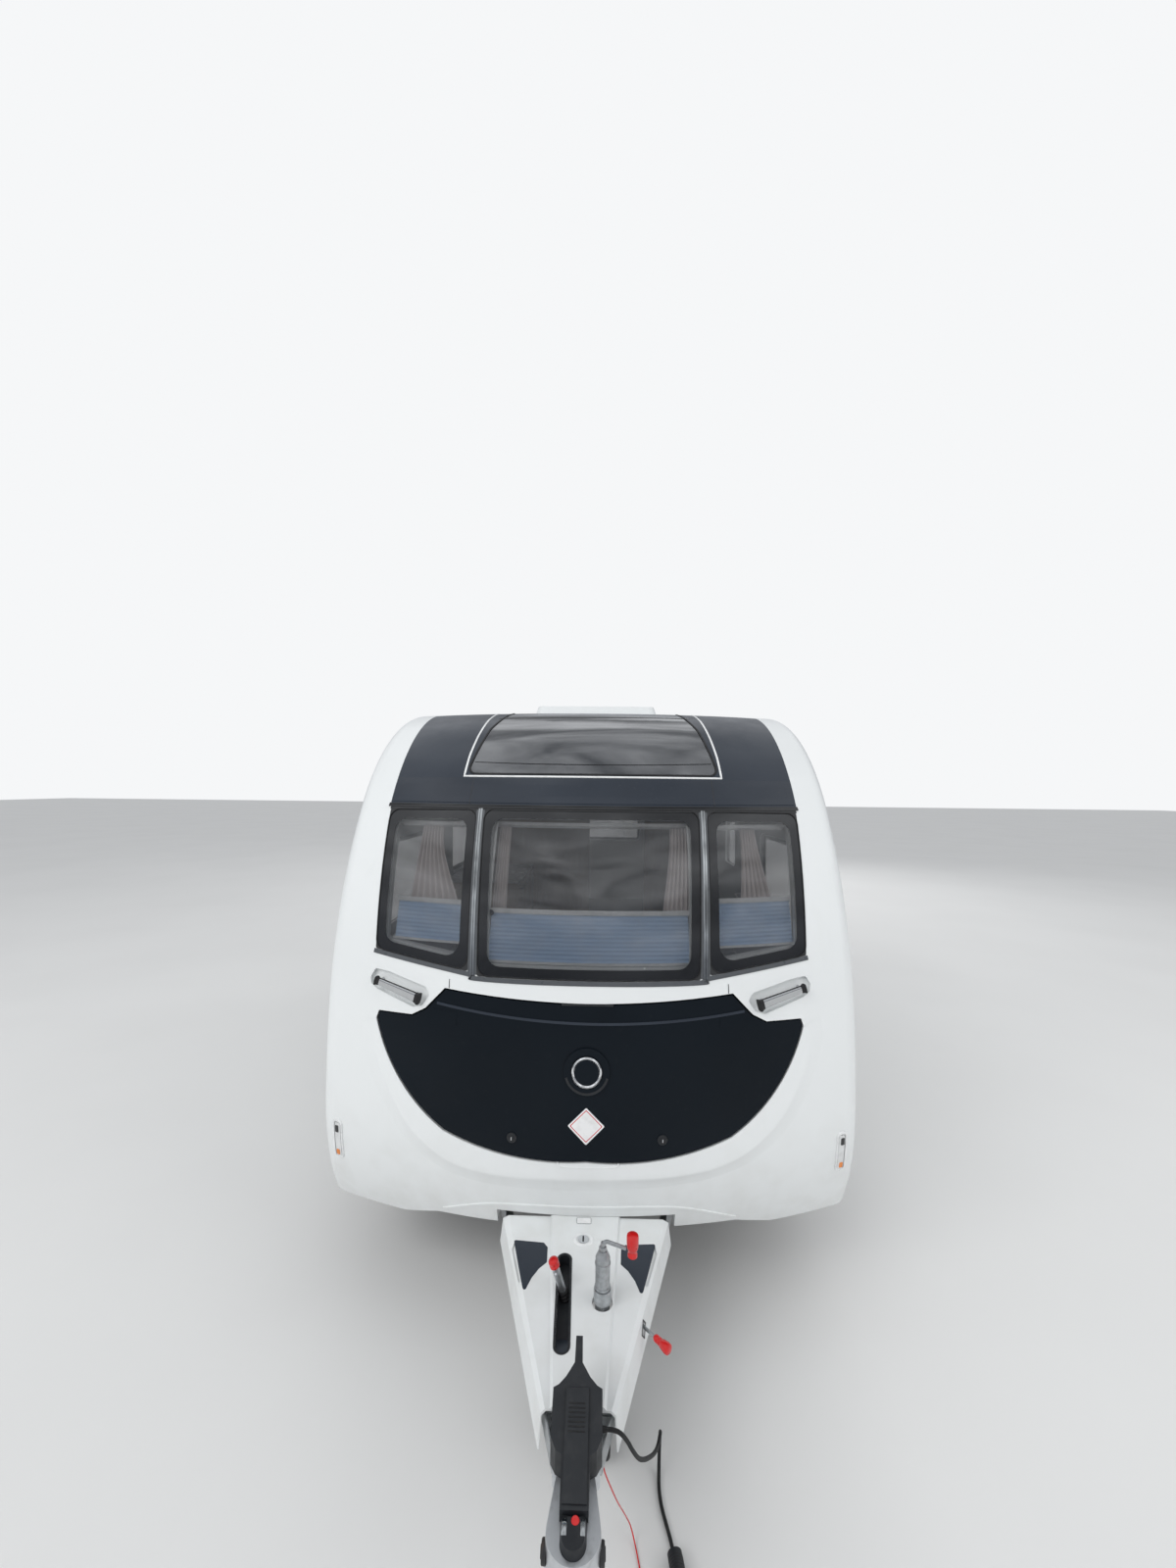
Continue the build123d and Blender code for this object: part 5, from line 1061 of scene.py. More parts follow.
def add_cover_details():
    """Charcoal insets, the lock, the blank plate and the lever's slot with its boot on the A-frame cover."""
    for name, outline in (("right", COVER_INSET), ("left", mirrored(COVER_INSET))):
        rounded = rounded_outline(outline, 0.006, 4, 8)
        patch(on_cover, f"cover_inset_{name}", rounded, 0.0009, "dark_panel", 8, 0.0030)
    lock, inner = ellipse(*COVER_LOCK, 0.040, 0.030), ellipse(*COVER_LOCK, 0.024, 0.021)
    loops = [
        laid(on_cover, outline, lift)
        for outline, lift in ((lock, -0.001), (grown(lock, -0.003), 0.003), (grown(lock, -0.008), 0.004),
                              (grown(inner, 0.002), 0.004), (inner, 0.002), (inner, -0.001))
    ]
    piece("cover_lock_bezel", loft_rings(loops, cap=False), trim_white)
    patch(on_cover, "cover_lock_barrel", ellipse(*COVER_LOCK, 0.0195, 0.0175), 0.0034, "chrome", 3, 0.004)
    patch(on_cover, "cover_lock_slot", slot_outline(*COVER_LOCK, 0.026, 0.006, 90, 6), 0.0042, "rubber", 2, 0.0006)
    plate = box_outline(-0.033, -2.533, 0.056, 0.030, 0.004, 4, 6)
    patch(on_cover, "cover_blank_plate", plate, 0.0012, bare_white, 2, 0.0014)
    ring_on(on_cover, "cover_plate_edge", grown(plate, -0.002), 0.002, 0.0018, pillar_metal)

    slot_line = slot_outline(*LEVER_SLOT, 0.350, 0.046, 92)
    ring_on(on_cover, "lever_slot_lip", grown(slot_line, -0.0008), 0.0045, 0.0022, "black_plastic")
    walls = [
        laid(on_cover, grown(slot_line, grow), lift)
        for grow, lift in ((-0.0010, 0.0010), (-0.0010, -0.034), (-0.0035, -0.034), (-0.0035, 0.0005),
                           (-0.0010, 0.0010))
    ]
    tray = laid(on_cover, grown(slot_line, -0.0036), -0.0335)
    base = [v - Vector((0, 0, 0.002)) for v in tray]
    piece("lever_slot_lining", [loft_rings(walls, cap=False), loft_rings([tray, base])], "black_plastic")
    ramp = []
    for y, z in ((-3.010, 0.4795), (-2.985, 0.4755), (-2.955, 0.466), (-2.925, 0.4555)):
        x = LEVER_SLOT[0] - math.tan(math.radians(2)) * (y - LEVER_SLOT[1])
        half = 0.0185 if y > -2.99 else 0.010
        ramp.append([(x - half, y, z), (x + half, y, z), (x + half, y, z - 0.010), (x - half, y, z - 0.010)])
    piece("lever_slot_ramp", loft_rings(ramp), "dark_panel")
    boot = [(0.030, 0.0200), (0.036, 0.0205), (0.041, 0.0175), (0.046, 0.0190), (0.051, 0.0160), (0.056, 0.0172),
            (0.062, 0.0145)]
    piece("lever_boot", turned(LEVER_FOOT, LEVER_WAY, boot, 28), "rubber")
    rod = turned(LEVER_FOOT + LEVER_WAY * 0.138 - Vector((0, 0.012, 0)), (0, -1, 0),
                 [(0, 0.004), (0.006, 0.004), (0.008, 0.0025), (0.008, 0)], 16)
    piece("lever_button_rod", rod, "chrome")
    add_cover_hole_edge([(-2.896, 0.441), (-2.876, 0.468), (-2.856, 0.441), (-2.876, 0.414)])


def add_cover_hole_edge(hole):
    """A dark lip round the clamp handle's hole in the cover's side."""
    loops = []
    for grow, out in ((0.0, -0.001), (0.0, 0.0012), (0.003, 0.0012), (0.0032, -0.001)):
        loop = []
        for y, z in grown(hole, grow):
            t = (-2.490 - y) / 0.670
            low, high = (0.333 - 0.221 * t, 0.412 - 0.050 * t), (0.322 - 0.218 * t, 0.500 - 0.038 * t)
            k = (z - low[1]) / (high[1] - low[1])
            loop.append(Vector((low[0] + (high[0] - low[0]) * k + out, y, z)))
        loops.append(loop)
    piece("clamp_hole_lip", loft_rings(loops, cap=False), seam_dark)


def add_red_grips():
    """The crank's and the clamp's grips and the lever's cap, turned with ribs."""
    crank = [(0, 0), (0, 0.013), (0.002, 0.0158), (0.011, 0.0160), (0.014, 0.0138), (0.020, 0.0138), (0.025, 0.0168),
             (0.034, 0.0192), (0.048, 0.0197), (0.064, 0.0199), (0.070, 0.0185), (0.0735, 0.0135), (0.074, 0)]
    clamp = [(0, 0), (0, 0.0085), (0.004, 0.0105), (0.012, 0.0108), (0.015, 0.0092), (0.018, 0.0108),
             (0.022, 0.0110), (0.025, 0.0095), (0.028, 0.0120), (0.034, 0.0135), (0.050, 0.0160), (0.058, 0.0150),
             (0.0615, 0.0105), (0.062, 0)]
    cap = [(0, 0), (0, 0.0135), (0.002, 0.0165), (0.012, 0.0169), (0.014, 0.0158), (0.016, 0.0169), (0.024, 0.0165),
           (0.0285, 0.0130), (0.030, 0.0075), (0.030, 0)]
    forms = [
        turned(CRANK_GRIP, (0, 0, 1), crank, 40),
        turned(CLAMP_FOOT + CLAMP_WAY * 0.0623, CLAMP_WAY, clamp, 32),
        turned(LEVER_FOOT + LEVER_WAY * 0.1503, LEVER_WAY, cap, 16),
    ]
    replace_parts(piece("red_hand_grips", forms, "red_plastic", sharp=40), "red_grips")


def add_jockey_details():
    """Collars on the jockey tube, the crank's nut, and the wheel's tread and hub."""
    foot = Vector((0.066, -2.850, 0))
    forms = []
    for low, high, radius in ((0.506, 0.548, 0.0285), (0.552, 0.558, 0.0262), (0.628, 0.634, 0.0258)):
        tall = high - low
        collar = [(0, 0.0242), (0, radius - 0.001), (0.001, radius), (tall - 0.001, radius), (tall, radius - 0.001),
                  (tall, 0.0242)]
        forms.append(turned(foot + Vector((0, 0, low)), (0, 0, 1), collar, 36, hole=True))
    nut = [(0, 0.0132), (0.010, 0.0132), (0.012, 0.0120), (0.012, 0.0085), (0.024, 0.0080), (0.026, 0.0066),
           (0.026, 0.0062)]
    forms.append(turned(foot + Vector((0, 0, 0.6722)), (0, 0, 1), nut, 6))
    piece("jockey_collars", forms, "galvanised")
    hub_at = Vector((0.066, -2.820, 0.108))
    hub = [(0, 0.062), (0.0045, 0.062), (0.0050, 0.058), (0.0035, 0.050), (0.0035, 0.024), (0.0058, 0.022),
           (0.0058, 0.0095), (0, 0.0095)]
    for side in (-1, 1):
        at = hub_at + Vector((side * 0.0262, 0, 0))
        piece(f"jockey_hub_{side + 1}", turned(at, (side, 0, 0), hub, 40), "galvanised", "jockey_roller")
    rib = [(0, 0.1072), (0.0005, 0.1079), (0.0035, 0.1079), (0.004, 0.1072)]
    ribs = [turned(hub_at + Vector((x - 0.002, 0, 0)), (1, 0, 0), rib, 64) for x in (-0.013, 0.0, 0.013)]
    piece("jockey_tyre_ribs", ribs, "rubber", "jockey_roller")


def add_coupling_details():
    """Button, pale strips, friction pads, bolts and the handle's ribs on the coupling."""
    up = Vector((0, -0.15, 1)).normalized()
    button = [(0, 0.0098), (0.003, 0.0098), (0.0048, 0.0080), (0.0052, 0.004), (0.0052, 0)]
    piece("coupling_button", turned(Vector((0.004, -3.418, 0.4915)) - up * 0.002, up, button, 28), "red_plastic")
    for name, x0, x1 in (("left", -0.0275, -0.0155), ("right", 0.0165, 0.0275)):
        strip = rounded_box((x0, -3.446, 0.4905), (x1, -3.409, 0.4935), 0.0012, 2)
        piece(f"coupling_strip_{name}", strip, (pillar_metal[0], "galvanised"))
    pad = [(0, 0.021), (0.009, 0.021), (0.011, 0.019), (0.011, 0.012), (0.013, 0.011), (0.013, 0)]
    bolt = [(0, 0.0075), (0.005, 0.0075), (0.006, 0.0068), (0.006, 0)]
    pads, bolts = [], []
    for side in (-1, 1):
        pads.append(turned((side * 0.062, -3.430, 0.434), (side, 0, 0), pad, 32))
        for y, z in ((-3.215, 0.452), (-3.215, 0.418), (-3.255, 0.435)):
            bolts.append(turned((side * 0.0612, y, z), (side, 0, 0), bolt, 6))
    piece("coupling_pads", pads, "cast")
    piece("coupling_bolts", bolts, "galvanised")
    ribs = []
    for k in range(7):
        y = -3.235 - 0.0085 * k
        z = 0.583 + (0.553 - 0.583) * (y + 3.205) / (-0.085)
        ribs.append(rounded_box((-0.022, y - 0.0018, z - 0.003), (0.022, y + 0.0018, z + 0.0010), 0.0008, 1))
    piece("coupling_grip_ribs", ribs, "rubber")


def add_plug_details():
    """Ribs round the body of the cable's plug."""
    start = Vector(CABLE_POINTS[-1])
    way = (start - Vector(CABLE_POINTS[-2])).normalized()
    at = start + way * 0.0001 + Vector((0, 0, 0.016))
    rib = [(0, 0.0208), (0.0008, 0.0214), (0.0030, 0.0214), (0.0038, 0.0208)]
    piece("plug_ribs", [turned(at + way * (0.012 + 0.007 * k), way, rib, 40) for k in range(5)], "rubber")


# Interior

# How long the cloth run is, how hard it presses, and how far a cushion may swell from its block
CLOTH_FRAMES = 20
CUSHION_PRESSURE = 4.0
CUSHION_SWELL = 0.009


def line_length(points):
    """The length of a line through points."""
    return sum((Vector(b) - Vector(a)).length for a, b in zip(points, points[1:]))


def pleated_row(left, right, inward, flat, folds, columns):
    """A row of cloth of a given flat width, gathered between two points."""
    left, right = Vector(left), Vector(right)
    low, high = 0.0, 0.05
    for _ in range(24):
        depth = (low + high) / 2
        row = []
        for i in range(columns + 1):
            t = i / columns
            row.append(left.lerp(right, t) + inward * depth * (1 - math.cos(2 * math.pi * folds * t)) / 2)
        if line_length(row) < flat:
            low = depth
        else:
            high = depth
    return row


def add_curtain(name, top, foot, flat_width, folds):
    """A gathered curtain behind a front pane; top and foot are (x0, x1, z)."""
    rows = 26
    columns = folds * 10
    sheet_rows = []
    for i in range(rows + 1):
        t = i / rows
        bend = t * t * (3 - 2 * t)
        z = top[2] + (foot[2] - top[2]) * t
        x0, x1 = between(top[:2], foot[:2], bend)
        left, normal = on_front(x0, z, -0.062)
        right = on_front(x1, z, -0.062)[0]
        sheet_rows.append(pleated_row(left, right, -normal, flat_width, folds, columns))
    obj = piece(name, loft_rings(sheet_rows, closed=False, cap=False), curtain_fabric, sharp=180)


def add_blind(name, x0, x1, top, low):
    """A pleated blind let down part of the way behind a front pane, between its two rails."""
    pleats = max(4, round((top - low) / 0.016))
    rows = []
    for k in range(2 * pleats + 1):
        z = top + (low - top) * k / (2 * pleats)
        rows.append(laid(on_front, straight((x0, z), (x1, z), 24), -0.034 - 0.005 * (k % 2)))
    obj = piece(f"blind_{name}", loft_rings(rows, closed=False, cap=False), blind_fabric, sharp=20)
    rails = []
    for z, height in ((top + 0.0095, 0.020), (low - 0.005, 0.010)):
        rings = []
        up = Vector((0, 0, height / 2))
        for x, _ in straight((x0 - 0.004, z), (x1 + 0.004, z), 24):
            front, normal = on_front(x, z, -0.027)
            back = front - normal * 0.018
            rings.append([front - up, front + up, back + up, back - up])
        rails.append(loft_rings(rings))
    piece(f"blind_rail_{name}", rails, trim_white)


def add_window_inside():
    """Rails, curtains, part-drawn blinds and latches behind the three front panes."""
    up, down = Vector((0, 0, 0.008)), Vector((0, 0, 0.006))
    for name, x0, x1, z in (("left", -0.905, -0.505, 2.046), ("centre", -0.448, 0.448, 2.052),
                            ("right", 0.505, 0.905, 2.046)):
        rings = []
        for x, _ in straight((x0, z), (x1, z), 24):
            point, normal = on_front(x, z, -0.058)
            back = point - normal * 0.022
            rings.append([point + up, back + up, back - down, point - down])
        piece(f"curtain_rail_{name}", loft_rings(rings), trim_white)
    add_curtain("curtain_left", (-0.785, -0.684, 2.038), (-0.800, -0.530, 1.560), 0.34, 7)
    add_curtain("curtain_centre_left", (-0.412, -0.358, 2.044), (-0.415, -0.352, 1.540), 0.16, 5)
    add_curtain("curtain_centre_right", (0.352, 0.440, 2.044), (0.296, 0.428, 1.540), 0.22, 6)
    add_curtain("curtain_right", (0.680, 0.750, 2.038), (0.640, 0.815, 1.560), 0.26, 6)
    add_blind("centre", -0.408, 0.408, 1.678, 1.500)
    add_blind("left", -0.832, -0.516, 1.702, 1.560)
    add_blind("right", 0.528, 0.860, 1.722, 1.560)
    posts = []
    for x, low in ((-0.418, 1.50), (0.424, 1.50), (-0.506, 1.55), (0.508, 1.55)):
        posts.append(tube(laid(on_front, straight((x, low), (x, 2.04), 16), -0.030), 0.0055, 8))
    piece("blind_side_rails", posts, trim_white)
    for k, (x, z) in enumerate(((-0.407, 1.678), (0.435, 1.690), (-0.508, 1.692), (0.509, 1.707))):
        point, normal = on_front(x, z, -0.023)
        knob = turned(point, -normal, [(0, 0.011), (0.010, 0.011), (0.012, 0.009), (0.012, 0)], 20)
        low = point - normal * 0.016 + Vector((-0.006, -0.004, -0.030))
        arm = rounded_box(low, low + Vector((0.012, 0.008, 0.040)), 0.003, 2)
        piece(f"window_latch_{k}", [knob, arm], "black_plastic")


def pressed_cushion(name, low, high, radius):
    """A cushion made full by a short cloth run from a rounded block, and kept within its place."""
    obj = piece(name, rounded_box(low, high, radius, 4), "fabric", sharp=180)
    remesh = obj.modifiers.new("remesh", "REMESH")
    remesh.mode = "VOXEL"
    remesh.voxel_size = 0.012
    apply_modifier(obj, "remesh")
    before = [v.co.copy() for v in obj.data.vertices]
    cloth = obj.modifiers.new("cloth", "CLOTH")
    cloth.settings.quality = 4
    cloth.settings.tension_stiffness = 30
    cloth.settings.compression_stiffness = 30
    cloth.settings.bending_stiffness = 3
    cloth.settings.use_pressure = True
    cloth.settings.uniform_pressure_force = CUSHION_PRESSURE
    cloth.settings.effector_weights.gravity = 0
    cloth.point_cache.frame_start = 1
    cloth.point_cache.frame_end = CLOTH_FRAMES
    scene = bpy.context.scene
    for number in range(1, CLOTH_FRAMES + 1):
        scene.frame_set(number)
    apply_modifier(obj, "cloth")
    scene.frame_set(1)
    for v, start in zip(obj.data.vertices, before):
        move = v.co - start
        if move.length > CUSHION_SWELL:
            v.co = start + move.normalized() * CUSHION_SWELL
    obj.data.polygons.foreach_set("use_smooth", [True] * len(obj.data.polygons))
    return obj


def apply_modifier(obj, name):
    """Bakes a modifier into the mesh."""
    depsgraph = bpy.context.evaluated_depsgraph_get()
    mesh = bpy.data.meshes.new_from_object(obj.evaluated_get(depsgraph))
    obj.modifiers.remove(obj.modifiers[name])
    obj.data = mesh


def add_cushions():
    """Seat pads and backrests with their piping, in place of the plain CAD blocks."""
    for side, name in SIDES:
        forms = []
        blocks = (
            ("pad", (side * 0.745, -1.420), (0.309, 0.644), 0.9503, 1.0803, 0.028),
            ("back", (side * 0.996, -1.420), (0.056, 0.644), 1.0806, 1.4806, 0.026),
        )
        for part, (x, y), (half_x, half_y), low, high, radius in blocks:
            cushion = pressed_cushion(
                f"seat_{part}_{name}", (x - half_x, y - half_y, low), (x + half_x, y + half_y, high), radius)
            forms.append(cushion)
            line = box_outline(x - half_x, y - half_y, 2 * half_x, 2 * half_y, 0.040, 6, 12)
            piping = [tube([(*p, z) for p in line + line[:2]], 0.0035, 6) for z in (low + 0.012, high - 0.012)]
            piece(f"seat_{part}_piping_{name}", piping, curtain_fabric)
        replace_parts(forms[0], f"seat_cushions_{name}")


def add_furniture_fronts():
    """Worktop, drawer and door fronts with their handles."""
    piece("kitchen_worktop", rounded_box((-1.090, -0.602, 1.4852), (-0.545, 0.302, 1.503), 0.006, 3), cupboard_white)
    fronts, pulls = [], []
    for k in range(3):
        y = -0.590 + 0.297 * k
        for z0, z1 in ((0.640, 1.190), (1.200, 1.475)):
            fronts.append(rounded_box((-0.5535, y, z0), (-0.5400, y + 0.287, z1), 0.003, 2))
            z = z1 - 0.04
            pulls.append(tube([(-0.540, y + 0.07, z), (-0.522, y + 0.075, z), (-0.522, y + 0.212, z),
                               (-0.540, y + 0.217, z)], 0.004, 8))
    for k in range(3):
        z = 0.625 + 0.150 * k
        fronts.append(rounded_box((-0.400, -1.6700, z), (0.400, -1.6560, z + 0.142), 0.003, 2))
        z += 0.10
        pulls.append(tube([(-0.06, -1.656, z), (-0.055, -1.638, z), (0.055, -1.638, z), (0.06, -1.656, z)], 0.004, 8))
    piece("cupboard_fronts", fronts, "wood")
    piece("cupboard_handles", pulls, "chrome")
    piece("chest_top", rounded_box((-0.42, -2.060, 1.0855), (0.42, -1.660, 1.1035), 0.006, 3), "wood")


# Sides, rear and roof

# Each one's side, low corner (y, z), width and height
SIDE_WINDOWS = [(-1, -1.780, 1.330, 0.940, 0.560), (-1, -0.300, 1.500, 0.620, 0.420), (-1, 1.500, 1.330, 0.800, 0.560),
                (1, -1.780, 1.330, 0.940, 0.560), (1, 1.500, 1.330, 0.900, 0.560)]
SIDE_DOORS = [("storage_door", 1, -1.750, 0.690, 0.700, 0.260), ("cassette_door", -1, 2.550, 0.700, 0.400, 0.330),
              ("battery_lid", -1, -1.000, 0.700, 0.330, 0.330)]


def on_side(side):
    """The flat side wall as a surface of (y, z)."""
    def surface(y, z, lift=0.0):
        return Vector((side * (HALF + lift), y, z)), Vector((side, 0, 0))
    return surface


def on_rear(x, z, lift=0.0):
    """The flat rear wall as a surface of (x, z)."""
    return Vector((x, 3.490 + lift, z)), Vector((0, 1, 0))


def seam_line():
    """The seam between the front moulding and a side wall, up from the skirt, as (y, z)."""
    points = []
    for cy, cz, r, top in PROFILE:
        radius = r - 0.230
        low = points[-1][1] if points else 0.420
        high = min(2.500, cz + (top - cz) / r * radius) if top < HEIGHT else 2.500
        for k in range(13):
            z = low + (high - low) * k / 12
            rise = z - cz
            if abs(rise) < radius * 0.999 and (not points or z > points[-1][1] + 1e-4):
                points.append((cy + BOW - math.sqrt(radius * radius - rise * rise), z))
    return points


def add_side_trims():
    """Awning rails, seam rails, skirt mouldings, markers, and the side windows' gaskets, borders and rails."""
    front = seam_line()
    for side, tag in SIDES:
        surface = on_side(side)
        along = straight((front[-1][0] + 0.02, 2.516), (3.21, 2.516), 40)
        bar_on(surface, f"awning_rail_{tag}", along, 0.014, 0.007, "alloy")
        bar_on(surface, f"front_seam_rail_{tag}", front, 0.012, 0.005, trim_white)
        rear = straight((3.2300, 0.420), (3.2300, 2.500), 20)
        bar_on(surface, f"rear_seam_rail_{tag}", rear, 0.012, 0.005, trim_white)
        for part, y0, y1 in (("front", -2.05, -0.262 if side > 0 else 0.438), ("rear", 1.282, 3.215)):
            skirt = straight((y0, 0.600), (y1, 0.600), 20)
            bar_on(surface, f"skirt_moulding_{part}_{tag}", skirt, 0.022, 0.006, "alloy")
        for k, y in enumerate((-1.95, -0.36 if side > 0 else 0.20, 1.60, 3.05)):
            lens = box_outline(y - 0.032, 0.500, 0.064, 0.026, 0.006, 4, 4)
            ring_on(surface, f"side_marker_bezel_{tag}_{k}", lens, 0.005, 0.004, "black_plastic")
            patch(surface, f"side_marker_{tag}_{k}", lens, 0.0055, lens_amber, 2, 0.006)
    for n, (side, y, z, w, h) in enumerate(SIDE_WINDOWS):
        surface = on_side(side)
        outline = box_outline(y, z, w, h, 0.060)
        ring_on(surface, f"side_window_gasket_{n}", grown(outline, 0.0004), 0.009, 0.0048, "rubber")
        border_on(surface, f"side_window_border_{n}", outline, 0.0028, 0.0036)
        hinge = straight((y + 0.02, z + h + 0.014), (y + w - 0.02, z + h + 0.014), 12)
        bar_on(surface, f"side_window_rail_{n}", hinge, 0.014, 0.007, "black_plastic")


def add_entrance_door_details():
    """Edge strip, handle, lock, kick strip and the window's frame on the entrance door, and the step's tread."""
    surface = on_side(1)
    body = "entrance_door_body"
    outline = box_outline(-0.230, 0.600, 0.580, 1.720, 0.090)
    ring_on(surface, "entrance_door_edge", grown(outline, -0.0070), 0.006, 0.0030, "alloy", body)
    window = box_outline(-0.120, 1.560, 0.360, 0.460, 0.040)
    ring_on(surface, "door_window_frame", grown(window, 0.0002), 0.016, 0.006, "rubber", body)
    plate = box_outline(0.245, 1.175, 0.075, 0.160, 0.018, 6, 8)
    patch(surface, "door_handle_plate", plate, 0.0022, "black_plastic", 3, 0.003, body=body)
    lever = [(HALF + 0.0022, 0.298, 1.275), (HALF + 0.0075, 0.296, 1.275), (HALF + 0.0078, 0.280, 1.275),
             (HALF + 0.0078, 0.258, 1.275)]
    piece("door_handle", tube(lever, [0.006, 0.0055, 0.0052, 0.0045], 12), "chrome", body)
    lock = [(0, 0.011), (0.003, 0.011), (0.0042, 0.0098), (0.0042, 0)]
    piece("door_lock", turned((HALF + 0.0020, 0.283, 1.212), (1, 0, 0), lock, 28), "chrome", body)
    kick = box_outline(-0.190, 0.640, 0.500, 0.110, 0.012, 5, 10)
    patch(surface, "door_kick_strip", kick, 0.0012, "alloy", 2, 0.0018, body=body)
    step = rounded_box((0.870, -0.180, 0.5300), (1.1180, 0.300, 0.5560), 0.006, 2)
    piece("door_step_tread", step, "black_plastic")


def add_small_door_details():
    """Rims and turn locks on the service doors, the inlets' frames and flaps, and the vents' catches."""
    knob = [(0, 0.017), (0.0035, 0.017), (0.0050, 0.0150), (0.0050, 0)]
    for name, side, y, z, w, h in SIDE_DOORS:
        body = f"{name}_body"
        rim = grown(box_outline(y, z, w, h, 0.020, 5, 10), -0.0110)
        ring_on(on_side(side), f"{name}_rim", rim, 0.010, 0.0035, trim_white, body)
        for k, share in enumerate((0.2, 0.8)):
            centre = Vector((side * (HALF + 0.0002), y + w * share, z + h - 0.036))
            middle = centre + Vector((side * 0.00575, 0, 0))
            half = Vector((0.00125, 0.002, 0.011))
            lock = [turned(centre, (side, 0, 0), knob, 28), rounded_box(middle - half, middle + half, 0.0006, 1)]
            piece(f"{name}_lock_{k}", lock, "black_plastic", body)
    inlets = (("mains_inlet", -1, -0.560, 0.760, 0.120), ("water_inlet", -1, 2.200, 0.760, 0.110),
              ("barbecue_point", 1, 1.750, 0.900, 0.110))
    for name, side, y, z, size in inlets:
        surface = on_side(side)
        outline = box_outline(y, z, size, size, 0.014, 5, 6)
        ring_on(surface, f"{name}_frame", outline, 0.010, 0.006, trim_white)
        patch(surface, f"{name}_flap", grown(outline, -0.0015), 0.0050, trim_white, 3, 0.004)
        top = z + size - 0.004
        hinge = tube(laid(surface, [(y + 0.012, top), (y + size - 0.012, top)], 0.0052), 0.0025, 8)
        piece(f"{name}_hinge", hinge, "black_plastic")
    catch = [(-0.001, 0.007), (0.0002, 0.007), (0.0003, 0)]
    for k, z in enumerate((0.865, 1.465)):
        for m, y in enumerate((0.395, 0.805)):
            form = turned((-HALF - 0.0080, y, z), (-1, 0, 0), catch, 16)
            piece(f"vent_catch_{k}_{m}", form, "black_plastic")


def add_rear_details():
    """Lens fields, reflectors, grab handles, the window's trim, the stop lamp and the blank plate at the rear."""
    fields = (("indicator", 1.000, 0.062, lens_amber), ("reverse", 0.915, 0.062, "lamp_clear"),
              ("stop", 0.800, 0.090, "lamp_red"), ("tail", 0.700, 0.080, "lamp_red"))
    for side, tag in SIDES:
        outline = grown(box_outline(side * 0.930 - 0.075, 0.670, 0.150, 0.420, 0.040), -0.0150)
        ring_on(on_rear, f"rear_lamp_bezel_{tag}", outline, 0.0142, 0.0182, "black_plastic", sink=-0.0120)
        for field, z, h, finish in fields:
            lens = box_outline(side * 0.930 - 0.052, z, 0.104, h, 0.014, 5, 6)
            patch(on_rear, f"rear_{field}_{tag}", lens, 0.0168, finish, 3, 0.0035)
        reflector = box_outline(side * 0.80 - 0.04, 0.540, 0.080, 0.040, 0.006, 4, 5)
        patch(on_rear, f"rear_reflector_{tag}", reflector, 0.0215, "lamp_red", 2, 0.0045)
        line = straight((side * 0.665, 1.240), (side * 0.665, 1.540), 12)
        points = laid(on_rear, line[:1]) + laid(on_rear, line[1:-1], 0.0165) + laid(on_rear, line[-1:])
        piece(f"rear_grab_handle_{tag}", tube(points, 0.0052, 10), "black_plastic")
    window = box_outline(-0.575, 1.420, 1.150, 0.520, 0.060)
    ring_on(on_rear, "rear_window_gasket", grown(window, 0.0004), 0.010, 0.005, "rubber")
    border_on(on_rear, "rear_window_border", window, 0.0002, 0.0010)
    bar_on(on_rear, "rear_window_rail", straight((-0.55, 1.956), (0.55, 1.956), 16), 0.015, 0.008, "black_plastic")
    strip = box_outline(-0.160, 2.205, 0.320, 0.026, 0.008, 4, 8)
    ring_on(on_rear, "high_stop_lamp_bezel", strip, 0.006, 0.010, "black_plastic")
    patch(on_rear, "high_stop_lamp", strip, 0.0105, "lamp_red", 2, 0.010)
    plate = box_outline(-0.260, 0.700, 0.520, 0.111, 0.008, 4, 8)
    ring_on(on_rear, "blank_plate_holder", plate, 0.007, 0.009, "black_plastic")
    patch(on_rear, "blank_plate", grown(plate, -0.0005), 0.0060, bare_white, 2, 0.005)
    for k, x in enumerate((-0.175, 0.175)):
        lamp = rounded_box((x - 0.030, 3.4905, 0.832), (x + 0.030, 3.5080, 0.852), 0.005, 2)
        piece(f"plate_lamp_{k}", lamp, "black_plastic")
    for name, z in (("low", 1.180), ("high", 2.130)):
        bar_on(on_rear, f"rear_crease_{name}", straight((-0.900, z), (0.900, z), 24), 0.012, 0.0035, "gelcoat")


def on_roof(x, y, lift=0.0):
    """The level on which the rooflights' seals lie, as a surface of (x, y)."""
    return Vector((x, y, 2.6530 + lift)), Vector((0, 0, 1))


def add_roof_details():
    """Seals and ribs of the two rooflights, and a flue cap."""
    for name, y, w, d in (("front", -0.68106, 0.700, 0.500), ("rear", 2.200, 0.400, 0.400)):
        seal_w, seal_d = w + 0.075, d + 0.055
        seal = box_outline(-seal_w / 2, y - seal_d / 2, seal_w, seal_d, 0.050, 6, 12)
        ring_on(on_roof, f"{name}_rooflight_seal", seal, 0.006, -0.0004, "rubber", sink=0.004)
        ribs = []
        for k in range(5):
            x = (k - 2) * w / 6
            low, high = (x - 0.004, y - d / 2 + 0.04, 2.7040), (x + 0.004, y + d / 2 - 0.04, 2.7048)
            ribs.append(rounded_box(low, high, 0.0003, 1))
        piece(f"{name}_rooflight_ribs", ribs, trim_white, f"{name}_rooflight_body")
    flue = [(0, 0.060), (0.006, 0.060), (0.010, 0.050), (0.040, 0.046), (0.044, 0.066), (0.052, 0.064),
            (0.066, 0.020), (0.068, 0)]
    piece("flue_cap", turned((-0.80, -0.30, 2.614), (0, 0, 1), flue, 40), "black_plastic")


